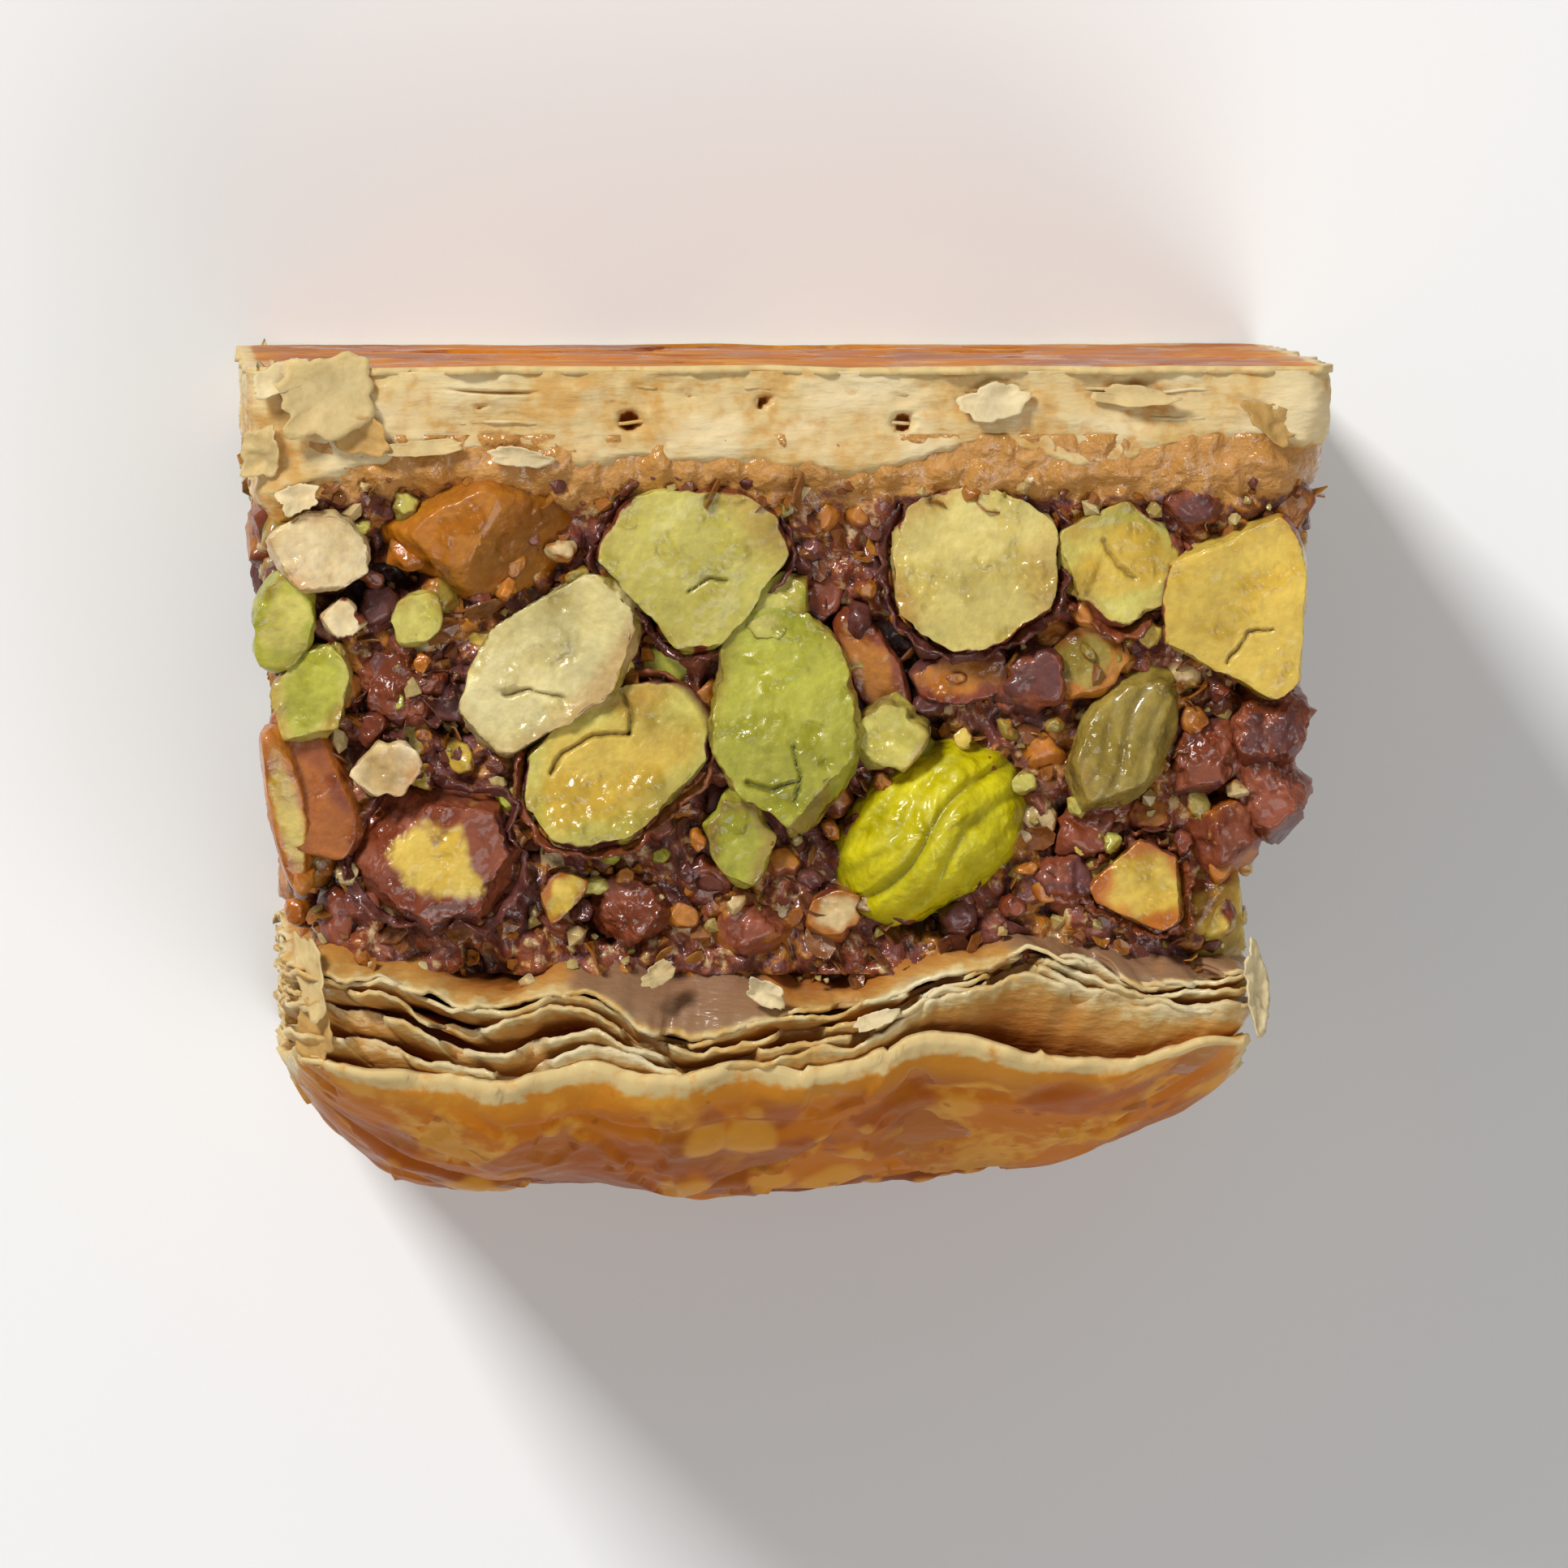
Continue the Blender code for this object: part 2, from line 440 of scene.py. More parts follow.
def crust_finish(name, coat, toast_and_shade_strength=1.0):
    """The outer leaf: golden, with darker patches where syrup soaked it, brown specks and uneven gloss."""
    material, graph, shader = new_finish(name, coat=coat, coat_roughness=0.15, subsurface=0.12)
    shader.inputs["Specular IOR Level"].default_value = 0.06
    where = graph.add("ShaderNodeTexCoord", out="Object")
    raised = graph.add("ShaderNodeAttribute", out="Fac", attribute_name="raised")
    toast = graph.add("ShaderNodeAttribute", out="Fac", attribute_name="toast")
    rim = graph.add("ShaderNodeAttribute", out="Fac", attribute_name="rim")
    broad = graph.noise(where, 7 * MM, 2, distortion=0.6)
    patches = graph.noise(where, 3.2 * MM, 2, distortion=0.3)
    fine = graph.noise(where, 0.6 * MM, 3)
    soaked = graph.step(broad + (patches - 0.5) * 0.5, 0.48, 0.56)
    dry = graph.step(patches + (fine - 0.5) * 0.4, 0.46, 0.64)
    colour = graph.blend(dry, GOLDEN_CRUST, PALE_CRUST)
    colour = graph.blend(soaked * 0.8, colour, AMBER_CRUST)
    colour = graph.blend(graph.step(rim + (patches - 0.5) * 0.8, 0.3, 1.1) * 0.6, colour, PALE_CRUST)
    # Browner by the toast and shade share, which on the dome is partly painted shade.
    colour = graph.blend(graph.step(toast + (patches - 0.5) * 0.5, 0.3, 1.0) * toast_and_shade_strength, colour, TOASTED_CRUST)
    colour = graph.blend(graph.step(raised + (fine - 0.5) * 0.2, 0.25, 0.7) * 0.75, colour, PALE_CRUST)
    specks = graph.step(graph.noise(where, 0.9 * MM, 0), 0.74, 0.8)
    colour = graph.blend(specks * 0.4, colour, TOASTED_CRUST)
    colour = graph.blend(graph.step(rim + (fine - 0.5) * 0.12, 0.95, 1.0), colour, CREAM_LEAF)
    graph.fill(shader.inputs["Base Color"], colour)
    streaks = graph.noise(where, 1.6 * MM, 3)
    graph.fill(shader.inputs["Roughness"], 0.52 - soaked * 0.17 - graph.step(streaks, 0.5, 0.7) * 0.15)
    height = streaks * 0.6 + fine * 0.4
    bump = graph.add("ShaderNodeBump", {"Strength": 0.6, "Distance": 0.15 * MM, "Height": height})
    graph.fill(shader.inputs["Normal"], bump)
    return material


def tinted_finish(name, coat, dry, wet_share, grain):
    """Food coloured by its tint attribute, with painted shade in its fine hollows and wet patches that shine."""
    material, graph, shader = new_finish(name, coat=coat, coat_roughness=0.1, subsurface=0.18)
    shader.inputs["Specular IOR Level"].default_value = 0.4
    where = graph.add("ShaderNodeTexCoord", out="Object")
    tint = graph.add("ShaderNodeAttribute", out="Color", attribute_name="tint")
    fine = graph.noise(where, 0.3 * MM, 4)
    broad = graph.noise(where, 1.5 * MM, 2)
    darker = graph.vector("MULTIPLY", tint, tint)
    # Painted shade where the fine bump sinks, mixed with broad random mottling.
    shade = graph.step(fine * 0.65 + broad * 0.35, 0.25, 0.72)
    wet = graph.step(graph.noise(where, 1.9 * MM, 2), wet_share - 0.05, wet_share + 0.12)
    dry_colour = graph.blend(shade * 0.72 + 0.28, graph.blend(0.5, tint, darker), tint)
    graph.fill(shader.inputs["Base Color"], graph.blend(wet * 0.3, dry_colour, darker))
    graph.fill(shader.inputs["Roughness"], dry - wet * (dry - 0.15))
    beads = (graph.noise(where, 0.8 * MM, 1) - 0.5) * wet
    bump = graph.add("ShaderNodeBump", {"Strength": grain, "Distance": 0.2 * MM, "Height": fine * 0.6 + beads * 4.0})
    graph.fill(shader.inputs["Normal"], bump)
    return material


def syrup_finish():
    """Ground nuts and skins soaked dark with syrup, with painted shade in the hollows between the lumps, wet in places,
    paler beside the base.
    """
    material, graph, shader = new_finish("syrupy_crumb", coat=0.35, coat_roughness=0.12, subsurface=0.15)
    where = graph.add("ShaderNodeTexCoord", out="Object")
    hollow = graph.add("ShaderNodeAttribute", out="Fac", attribute_name="hollow")
    pale = graph.add("ShaderNodeAttribute", out="Fac", attribute_name="pale")
    patches = graph.noise(where, 2.4 * MM, 3)
    others = graph.noise(where, 2.0 * MM, 3, w=4.0)
    fine = graph.noise(where, 0.45 * MM, 3)
    colour = graph.blend(graph.step(patches + (fine - 0.5) * 0.6, 0.4, 0.6), PURPLE_SKIN, RED_BROWN)
    colour = graph.blend(graph.step(others + (fine - 0.5) * 0.5, 0.52, 0.62) * 0.85, colour, CARAMEL)
    colour = graph.blend(graph.step(fine + (patches - 0.5) * 0.8, 0.58, 0.74) * 0.7, colour, BEIGE)
    # Painted shade between the lumps and in the deep hollows.
    colour = graph.blend(graph.step(hollow, 0.4, 0.85), colour, HOLLOW_SHADE_BROWN)
    beside_base = graph.step(pale + (patches - 0.5) * 1.3 + (fine - 0.5) * 0.5, 0.4, 0.7)
    colour = graph.blend(beside_base * 0.9, colour, TAN_LEAF)
    graph.fill(shader.inputs["Base Color"], colour)
    wet = graph.step(graph.noise(where, 1.5 * MM, 2), 0.48, 0.56)
    graph.fill(shader.inputs["Roughness"], 0.6 - wet * 0.45)
    bump = graph.add("ShaderNodeBump", {"Strength": 0.9, "Distance": 0.25 * MM, "Height": fine + patches})
    graph.fill(shader.inputs["Normal"], bump)
    return material


# --- Stacks of thin leaves ------------------------------------------------------------------------------------

LEAF_COLUMNS = 1000
LEAF_ROWS = (1.0, 0.985, 0.955, 0.905, 0.83)


def leaf_band(name, material):
    """One flat leaf's outer band, from the cut inwards, for the leaf tree to stack."""
    across, deep, outward = cut_outline(LEAF_COLUMNS)
    rows = np.array(LEAF_ROWS)[:, None]
    wide = across * rows
    tall = 0.5 + (deep - 0.5) * rows
    points = np.stack([wide, np.zeros_like(wide), tall], axis=-1).reshape(-1, 3)
    rim = np.broadcast_to((rows - LEAF_ROWS[-1]) / (1 - LEAF_ROWS[-1]), wide.shape)
    piece = make_piece(name, points, grid_faces(len(LEAF_ROWS), LEAF_COLUMNS, True), material, {"rim": rim.ravel()})
    ways = np.broadcast_to(outward, (len(LEAF_ROWS), LEAF_COLUMNS, 3)).astype(np.float32)
    piece.data.attributes.new("outward", "FLOAT_VECTOR", "POINT").data.foreach_set("vector", ways.ravel())
    return piece


def leaf_tree():
    """Stacks copies of a leaf band along Y, then waves, curls and tears each one and gives it a thickness."""
    graph, given = tree_with_inputs("stacked leaves", {
        "Leaves": 12, "First Y": 0.0, "Last Y": -5 * MM, "First Outline": (0.0, 20 * MM, 33 * MM),
        "Last Outline": (0.0, 20 * MM, 33 * MM), "Thickness": 0.25 * MM,
        "Wave Height": 0.3 * MM, "Wave Length": 6 * MM, "Bunching": 0.5, "Raggedness": 0.5 * MM,
        "Ragged Length": 2.5 * MM, "Torn Back": 1 * MM, "Curl": 0.3 * MM, "Seed": 1.0,
        "Material": "NodeSocketMaterial",
    })
    line = graph.add("GeometryNodeMeshLine", {"Count": given["Leaves"], "Offset": (0.0, 0.0, 0.0)})
    index = graph.add("GeometryNodeInputIndex")
    line = graph.add("GeometryNodeStoreNamedAttribute", {"Geometry": line, "Name": "leaf", "Value": index},
                     data_type="FLOAT")
    copies = graph.add("GeometryNodeInstanceOnPoints", {"Points": line, "Instance": given["Geometry"]})
    sheets = graph.add("GeometryNodeRealizeInstances", {"Geometry": copies})

    def named(label, kind="FLOAT"):
        return graph.add("GeometryNodeInputNamedAttribute", {"Name": label}, data_type=kind)

    leaf, rim, seed = named("leaf"), named("rim"), given["Seed"]
    share = leaf / (given["Leaves"] - 1)
    flat = graph.separate(graph.add("GeometryNodeInputPosition"))
    first, last = graph.separate(given["First Outline"]), graph.separate(given["Last Outline"])
    centre, half_width, depth = (a + (b - a) * share for a, b in zip(first, last))
    x, z = centre + flat[0] * half_width, flat[2] * depth
    spot = graph.add("ShaderNodeCombineXYZ", {0: x, 1: 0.0, 2: z})
    slow = graph.noise(spot, 9 * MM, 1, w=seed)
    bunched = share + given["Bunching"] * graph.math("SINE", (share * 2 + slow * 3) * (2 * math.pi)) / (4 * math.pi)
    wave = graph.add("ShaderNodeTexNoise", {
        "Vector": spot, "W": leaf * 0.17 + seed, "Scale": 1 / given["Wave Length"], "Detail": 1.5,
    }, noise_dimensions="4D")
    curl = (graph.noise(spot, 2.4 * MM, 2, w=leaf * 3.7 + seed) - 0.5) * 2 * given["Curl"] * rim * rim
    along = given["First Y"] + (given["Last Y"] - given["First Y"]) * bunched
    crisp = graph.noise(spot, 0.8 * MM, 2, w=leaf * 2.7) - 0.5
    y = along + (wave - 0.5) * 2 * given["Wave Height"] + curl + crisp * rim * given["Thickness"]

    ragged = graph.add("ShaderNodeTexNoise", {
        "Vector": spot, "W": leaf * 5.1 + seed, "Scale": 1 / given["Ragged Length"], "Detail": 5.0,
        "Roughness": 0.62,
    }, noise_dimensions="4D")
    torn = graph.step(graph.noise(spot, 4.5 * MM, 2, w=leaf * 1.9 + seed), 0.56, 0.62)
    outset = ((ragged - 0.55) * 2 * given["Raggedness"] - torn * given["Torn Back"]) * rim
    shift = graph.vector("SCALE", named("outward", "FLOAT_VECTOR"))
    graph.fill(shift.socket.node.inputs["Scale"], outset)
    target = graph.vector("ADD", graph.add("ShaderNodeCombineXYZ", {0: x, 1: y, 2: z}), shift)
    sheets = graph.add("GeometryNodeSetPosition", {"Geometry": sheets, "Position": target})
    toast = share * 0.6 + torn * 0.4 + (slow - 0.5)
    sheets = graph.add("GeometryNodeStoreNamedAttribute", {"Geometry": sheets, "Name": "toast", "Value": toast},
                       data_type="FLOAT")
    through = graph.add("ShaderNodeCombineXYZ", {0: 0.0, 1: -1.0, 2: 0.0})
    raised = graph.add("GeometryNodeExtrudeMesh", {
        "Mesh": sheets, "Offset": through, "Offset Scale": given["Thickness"], "Individual": False})
    back = graph.add("GeometryNodeFlipFaces", {0: sheets})
    join = graph.tree.nodes.new("GeometryNodeJoinGeometry")
    for part in (raised, back):
        graph.tree.links.new(part.socket, join.inputs[0])
    solid = graph.add("GeometryNodeMergeByDistance", {"Geometry": Value(graph, join.outputs[0]), "Distance": 1e-6})
    solid = graph.add("GeometryNodeSetMaterial", {"Geometry": solid, "Material": given["Material"]})
    return finish_tree(graph, solid)


def outline_at(y, inset):
    """Centre, half width and depth of the piece at a place along Y, drawn in by inset."""
    centre, half_width, depth = (float(value) for value in taper(y))
    return centre, half_width - inset, depth - inset


def base_leaves(tree, finish):
    """The few leaves of the base whose cut edges stand out of the pressed stack."""
    first, last, inset = BASE_LOW.y + 2.0 * MM, BASE_HIGH.y - 0.9 * MM, 0.22 * MM
    return outwards(apply_tree(
        leaf_band("base_leaves", finish), tree, leaves=2, first_y=first, last_y=last, thickness=0.13 * MM,
        first_outline=outline_at(first, inset), last_outline=outline_at(last, inset), wave_height=0.7 * MM,
        wave_length=12 * MM, bunching=0.4, raggedness=0.35 * MM, ragged_length=3.2 * MM,
        torn_back=1.2 * MM, curl=0.25 * MM, seed=8.0, material=finish))


# Lines on the upper cut side, in mm: X, then the places along Y where the filling ends, of the rims of three puffed
# leaves, and of the outer leaf.
TOP_LINES = (
    (-19.2, -5.8, -7.1, -7.9, -8.4, -10.7), (-17.5, -6.7, -7.4, -8.0, -8.7, -11.0),
    (-16.0, -6.6, -7.6, -8.1, -9.0, -11.2), (-14.5, -7.3, -8.0, -8.9, -9.6, -11.4),
    (-13.0, -7.5, -8.4, -9.6, -10.3, -11.6), (-12.2, -7.7, -8.7, -9.5, -10.4, -11.6),
    (-10.7, -7.2, -8.4, -8.9, -10.3, -11.9), (-9.1, -6.4, -7.9, -8.5, -9.7, -11.3),
    (-7.2, -6.3, -8.4, -9.3, -9.8, -10.7), (-5.8, -6.9, -9.6, -10.0, -10.4, -11.3),
    (-3.6, -6.9, -9.9, -10.5, -10.9, -11.5), (-1.4, -7.0, -9.3, -10.0, -10.4, -11.0),
    (-0.2, -7.6, -9.0, -9.5, -10.1, -11.1), (1.5, -8.0, -8.8, -9.5, -9.9, -11.3),
    (3.0, -7.6, -8.5, -9.2, -9.5, -11.1), (4.3, -7.0, -8.2, -8.7, -9.0, -10.8),
    (5.8, -6.5, -7.4, -7.9, -8.1, -9.7), (8.3, -6.2, -6.9, -7.3, -7.6, -10.0),
    (9.5, -5.7, -6.3, -6.7, -7.0, -10.3), (11.2, -5.7, -6.7, -7.1, -7.5, -10.6),
    (13.9, -6.2, -7.9, -8.2, -8.5, -10.9), (17.5, -6.2, -7.5, -8.0, -8.7, -10.1), (19.0, -6.5, -7.4, -7.9, -8.6, -10.3),
)
# The same for the end of the base: X and the place along Y.
BASE_LINE = (
    (-22.1, 10.1), (-20.9, 10.5), (-19.1, 11.4), (-16.7, 12.5), (-13.7, 13.0), (-10.1, 13.2), (-8.6, 12.4),
    (-6.5, 12.7), (-4.1, 12.5), (-1.7, 12.4), (0.7, 12.1), (2.5, 11.9), (4.3, 12.4), (5.8, 13.0), (7.6, 13.6),
    (9.7, 13.2), (11.2, 12.2), (13.0, 12.5), (15.1, 13.3), (17.5, 13.7), (19.9, 13.6), (21.7, 13.2),
)
STAINED = ((-20, 0.2), (-10, 0.2), (-8, 0.9), (-1.5, 0.9), (0, 0.35), (8, 0.35), (10, 0.8), (18, 0.8), (19.5, 0.2))


def soft_line(places, x, column=1):
    """The value of a column of listed places at x, softened over a millimetre. Lengths are in mm."""
    places = np.array(places, float)
    shifts = (-0.5, -0.25, 0.0, 0.25, 0.5)
    return sum(np.interp(x / MM + shift, places[:, 0], places[:, column]) for shift in shifts) / len(shifts)


def near_upper_cut(deep):
    """1 at the cut side that faces up, falling to 0 away from it."""
    return smooth_step((deep - 0.72) / 0.2)


LEAF_DEPTHS = (0.0, 0.08, 0.25, 0.6, 1.1, 1.7, 2.4, 3.2, 4.2)
# For each puffed leaf: its column in TOP_LINES, how much of the way to the next column its rim lies at the left and
# at the right end, its place along Y on the other cut sides, how far it leans outwards at the left and at the right
# end, and how brown it is. Lengths are in mm.
PUFFED_LEAVES = (
    (2, 0.0, 0.0, -7.0, -1.0, -1.0, 0.0), (2, 0.2, 0.2, -7.3, 1.1, 0.9, 0.6), (3, 0.0, 0.0, -8.0, 1.1, 0.9, 0.2),
    (4, 0.0, 0.0, -8.8, 1.6, 1.6, 0.4), (4, 0.55, 0.08, -9.9, 1.9, 2.6, 0.5),
)


def top_leaves(finish):
    """The puffed leaves under the outer one: pinched at the cut, leaning apart inside, with crinkled, torn rims."""
    across, deep, outward = cut_outline(LEAF_COLUMNS)
    inwards = np.array(LEAF_DEPTHS)[:, None] * MM
    pile = Pile()
    shares = {"rim": [], "toast": [], "stain": []}
    for number, (column, left, right, side_y, left_lean, right_lean, toast) in enumerate(PUFFED_LEAVES):
        centre, half_width, depth = taper(side_y * MM)
        x = centre + across * (half_width - inwards)
        z = depth / 2 + (2 * deep - 1) * (depth / 2 - inwards)
        spots = np.stack([x, np.full_like(x, number * 0.05), z], axis=-1)
        rim_spots = np.broadcast_to(spots[0], spots.shape)
        upper = near_upper_cut(deep)
        rightwards = smooth_step((x[0] / MM + 2) / 8)
        rim_y = soft_line(TOP_LINES, x[0], column)
        if column < 5:
            rim_y = mix(rim_y, soft_line(TOP_LINES, x[0], column + 1), mix(left, right, rightwards))
        side = side_y + 0.55 * lumps(rim_spots[0], 6 * MM, 70 + number) + 0.2 * lumps(rim_spots[0], 2.5 * MM, 71)
        rim_y = mix(side, rim_y, upper)
        lean = mix(left_lean, right_lean, rightwards) * (1 + 0.3 * lumps(rim_spots[0], 7 * MM, 72 + number))
        if number == 0:
            inner_y = mix(rim_y + 0.9, soft_line(TOP_LINES, x[0], 1), upper)
        else:
            inner_y = rim_y - lean
        bow = 1 - (1 - np.clip(inwards / (2.8 * MM), 0, 1)) ** 1.5
        fade = np.exp(-inwards / (0.8 * MM))
        crumpled = 0.9 if number == 0 else 0.16
        waves = (0.22 * lumps(spots, 4.5 * MM, 73) + crumpled * crumble(spots * (1, 1, 0.6), 1.7 * MM, 79)) * bow
        waves = waves + (0.34 * lumps(spots, 1.7 * MM, 74) + 0.24 * crumble(spots, 0.8 * MM, 75)) * fade
        y = (mix(rim_y, inner_y, bow) + waves) * MM
        torn = smooth_step((lumps(rim_spots, 3.6 * MM, 76) - 0.22) / 0.1)
        ragged = (0.55 * crumble(rim_spots, 2.0 * MM, 77, 5) - 1.2 * torn) * fade * MM
        sheet = np.stack([x, y, z], axis=-1) + outward * ragged[..., None]
        half = np.array([0, 0.09 * MM, 0])
        rows = np.concatenate([(sheet - half)[::-1], sheet + half])
        pile.add(rows.reshape(-1, 3), grid_faces(len(rows) + 1, LEAF_COLUMNS, True) % (len(rows) * LEAF_COLUMNS), None)
        rim = np.broadcast_to(1 - inwards / (3 * MM), x.shape)
        stain = np.broadcast_to(soft_line(STAINED, x[0]) * upper if number == 0 else 0 * x[0], x.shape)
        browner = toast + 0.25 * torn
        for label, values in (("rim", rim), ("toast", browner), ("stain", stain)):
            shares[label] += [values[::-1].ravel(), values.ravel()]
    shares = {label: np.concatenate(values) for label, values in shares.items()}
    return outwards(make_piece("top_leaves", np.concatenate(pile.points), pile.faces, finish, shares))


# --- Outer leaves and cores -----------------------------------------------------------------------------------

CRUST_COLUMNS = 240
CRUST_ROWS = 200
CRUST_THICKNESS = 0.3 * MM


def blisters(spots, count, smallest, largest, seed):
    """Round bumps from 0 to 1 at scattered places, where baking lifted the leaf."""
    random = np.random.default_rng(seed)
    low, high = spots.min(axis=0), spots.max(axis=0)
    raised = np.zeros(len(spots))
    for _ in range(count):
        middle = low + (high - low) * random.random(3)
        middle[1] = 0
        size = mix(smallest, largest, random.random() ** 2)
        offset = (spots - middle) / size
        distance = np.linalg.norm(offset, axis=1) * (1 + 0.15 * lumps(offset * size, size, seed))
        raised = np.maximum(raised, (size / largest) ** 0.5 * smooth_step(1.25 * (1 - distance)))
    return raised


def crust_sheet(name, finish, height_at, rise_way):
    """A full leaf over one face of the stack. height_at gives its place along Y, raised bumps and browning, which on
    the dome is partly painted shade.
    """
    across, deep = np.meshgrid(np.linspace(-1, 1, CRUST_COLUMNS), np.linspace(0, 1, CRUST_ROWS))
    corner = (np.abs(across) * np.abs(2 * deep - 1)) ** 14
    y, raised, toast = height_at(across, deep)
    pulled_across, pulled_deep = across * (1 - 0.022 * corner), 0.5 + (deep - 0.5) * (1 - 0.03 * corner)
    points = place(pulled_across, pulled_deep, y)
    rim = np.maximum(np.abs(across), np.abs(2 * deep - 1))
    frayed = smooth_step((rim - 0.97) / 0.03)[..., None]
    fray = crumble(points, 2.4 * MM, 21, 4)[..., None] * 0.7 * MM
    points[..., 0:1] += np.where(np.abs(across)[..., None] > 0.97, np.sign(across)[..., None] * frayed * fray, 0)
    points[..., 2:3] += np.where((2 * deep - 1)[..., None] > 0.97, frayed * fray, 0)
    shares = {"raised": raised.ravel(), "toast": toast.ravel(), "rim": smooth_step((rim - 0.84) / 0.15).ravel()}
    piece = make_piece(name, points.reshape(-1, 3), grid_faces(CRUST_ROWS, CRUST_COLUMNS, False), finish, shares)
    shell = piece.modifiers.new("thickness", "SOLIDIFY")
    shell.thickness = CRUST_THICKNESS
    shell.offset = -1.0 if rise_way < 0 else 1.0
    graph = bpy.context.evaluated_depsgraph_get()
    solid = bpy.data.meshes.new_from_object(piece.evaluated_get(graph))
    piece.modifiers.clear()
    piece.data = solid
    return outwards(piece)


def glazed_height(across, deep):
    """The domed, blistered outer leaf of the top pastry."""
    spots = np.stack([across * TOP_HALF_WIDTH, np.zeros_like(across), deep * TOP_DEPTH], axis=-1)
    flat = spots.reshape(-1, 3)
    swell = dome(across, deep)
    inside = 0.3 + 0.7 * swell
    dents = 0.7 * MM * lumps(spots, 8.5 * MM, 4) * (0.4 + 0.6 * swell)
    folds = 0.34 * MM * crumble(spots * (0.6, 1, 1.3), 3.2 * MM, 9, 4)
    creases = -0.45 * MM * np.clip(1 - 9 * np.abs(lumps(spots * (0.5, 1, 1.0), 6.5 * MM, 15)), 0, 1) * inside
    bumps = blisters(flat, 90, 0.6 * MM, 1.9 * MM, 5).reshape(across.shape)
    flake_noise = crumble(spots, 6.5 * MM, 31, 5)
    flaked = smooth_step((flake_noise - 0.16) / 0.03)
    upper = near_upper_cut(deep)
    rim_y = mix(TOP_RIM + 0.5 * MM * lumps(spots, 7 * MM, 33), soft_line(TOP_LINES, spots[..., 0], 5) * MM, upper)
    y = rim_y - DOME_RISE * swell - dents - folds - creases - 0.3 * MM * bumps * inside + 0.25 * MM * flaked
    # Browner where the dome swells most: partly its baked colour, partly painted shade down its face; paler where it
    # flaked.
    toast = 0.7 * swell + 0.35 * lumps(spots, 7 * MM, 12) - 0.3 * flaked
    return y, bumps, toast


def pressed_height(across, deep):
    """The flat outer leaf of the base pastry, pressed against the tin, with shallow wrinkles."""
    spots = np.stack([across * BASE_HALF_WIDTH, np.zeros_like(across), deep * BASE_DEPTH], axis=-1)
    wrinkles = crumble(spots * (0.7, 1, 1), 5 * MM, 41) * 0.16 * MM
    inner = smooth_step(8 * (1 - np.maximum(np.abs(across), np.abs(2 * deep - 1))))
    flaked = smooth_step((crumble(spots, 7 * MM, 47, 5) * inner - 0.22) / 0.03)
    y = BASE_HIGH.y - 0.12 * MM + wrinkles - 0.15 * MM * flaked
    toast = 0.5 + 0.35 * lumps(spots, 8 * MM, 44) + 0.2 * lumps(spots * (0.3, 1, 1), 2.5 * MM, 45)
    return y, 0.25 + 0.35 * lumps(spots, 3 * MM, 52), toast


def core(name, finish, near, far, inset, columns, rows, relief, rise=0.0, far_line=None):
    """A closed body behind the cut sides, between two places along Y. relief moves its wall outwards."""
    across, deep, outward = cut_outline(columns)
    stack = np.linspace(near, far, rows)[:, None]
    centre, half_width, depth = taper(stack)
    inset_x, inset_z = 1 - inset / half_width, 1 - 2 * inset / depth
    wide, tall = across * inset_x, 0.5 + (deep - 0.5) * inset_z
    wall = np.stack(np.broadcast_arrays(centre + wide * half_width, stack, tall * depth), axis=-1)
    share = np.broadcast_to((stack - near) / (far - near), wide.shape)
    if far_line is not None:
        shift = near_upper_cut(deep) * (soft_line(far_line, wall[-1, :, 0]) * MM - far)
        wall[..., 1] += shift * share ** 2 + 0.35 * MM * share * crumble(wall, 1.6 * MM, 69)
    outset, shares = relief(wall, share)
    wall = wall + outward * outset[..., None]
    caps = []
    for end, order in ((0, 1), (-1, -1)):
        scales = np.array([0.15, 0.4, 0.6, 0.75, 0.88])[:, None]
        middle = wall[end].mean(axis=0)
        cap = middle + (wall[end] - middle) * scales[..., None]
        if rise and end == -1:
            cap[..., 1] -= rise * dome(across * scales, 0.5 + (deep - 0.5) * scales)
        caps.append(cap[::order])
    points = np.concatenate([caps[0], wall, caps[1]])
    faces = grid_faces(len(points), columns, True).tolist()
    total = points.shape[0] * columns
    faces.append(list(range(columns))[::-1])
    faces.append(list(range(total - columns, total)))
    hidden = np.zeros((5, columns))
    shares = {label: np.concatenate([hidden, values, hidden]).ravel() for label, values in shares.items()}
    return outwards(make_piece(name, points.reshape(-1, 3), faces, finish, shares))


def packed_crumb(points, share):
    """The crumbly wall of ground nuts that the kernels sit in, with hollows between the lumps."""
    near, second = pebbles(points + 0.5 * MM * crumble(points, 1.5 * MM, 2)[..., None], 1.5 * MM, 3)
    stones = smooth_step((second - near) * 2.2)
    ridges = 1 - np.abs(crumble(points, 1.3 * MM, 17, 4)) * 2
    beside_base = smooth_step(1 - (share - 0.06) / 0.13)
    hollow = smooth_step((lumps(points, 3.4 * MM, 8) - 0.2) * 3) * (1 - beside_base)
    rough = (0.55 * stones + 0.5 * ridges + 0.35 * crumble(points, 0.6 * MM, 14)) * (1 - 0.6 * beside_base)
    outset = rough - 1.3 * hollow + 1.6 * beside_base
    # Painted shade: darker between the stones and ridges and in the deep hollows, lighter beside the base.
    painted_shade = np.clip(0.8 - 0.5 * stones - 0.5 * ridges + 0.8 * hollow - 0.3 * beside_base, 0, 1)
    return outset * MM, {"hollow": painted_shade, "pale": beside_base}


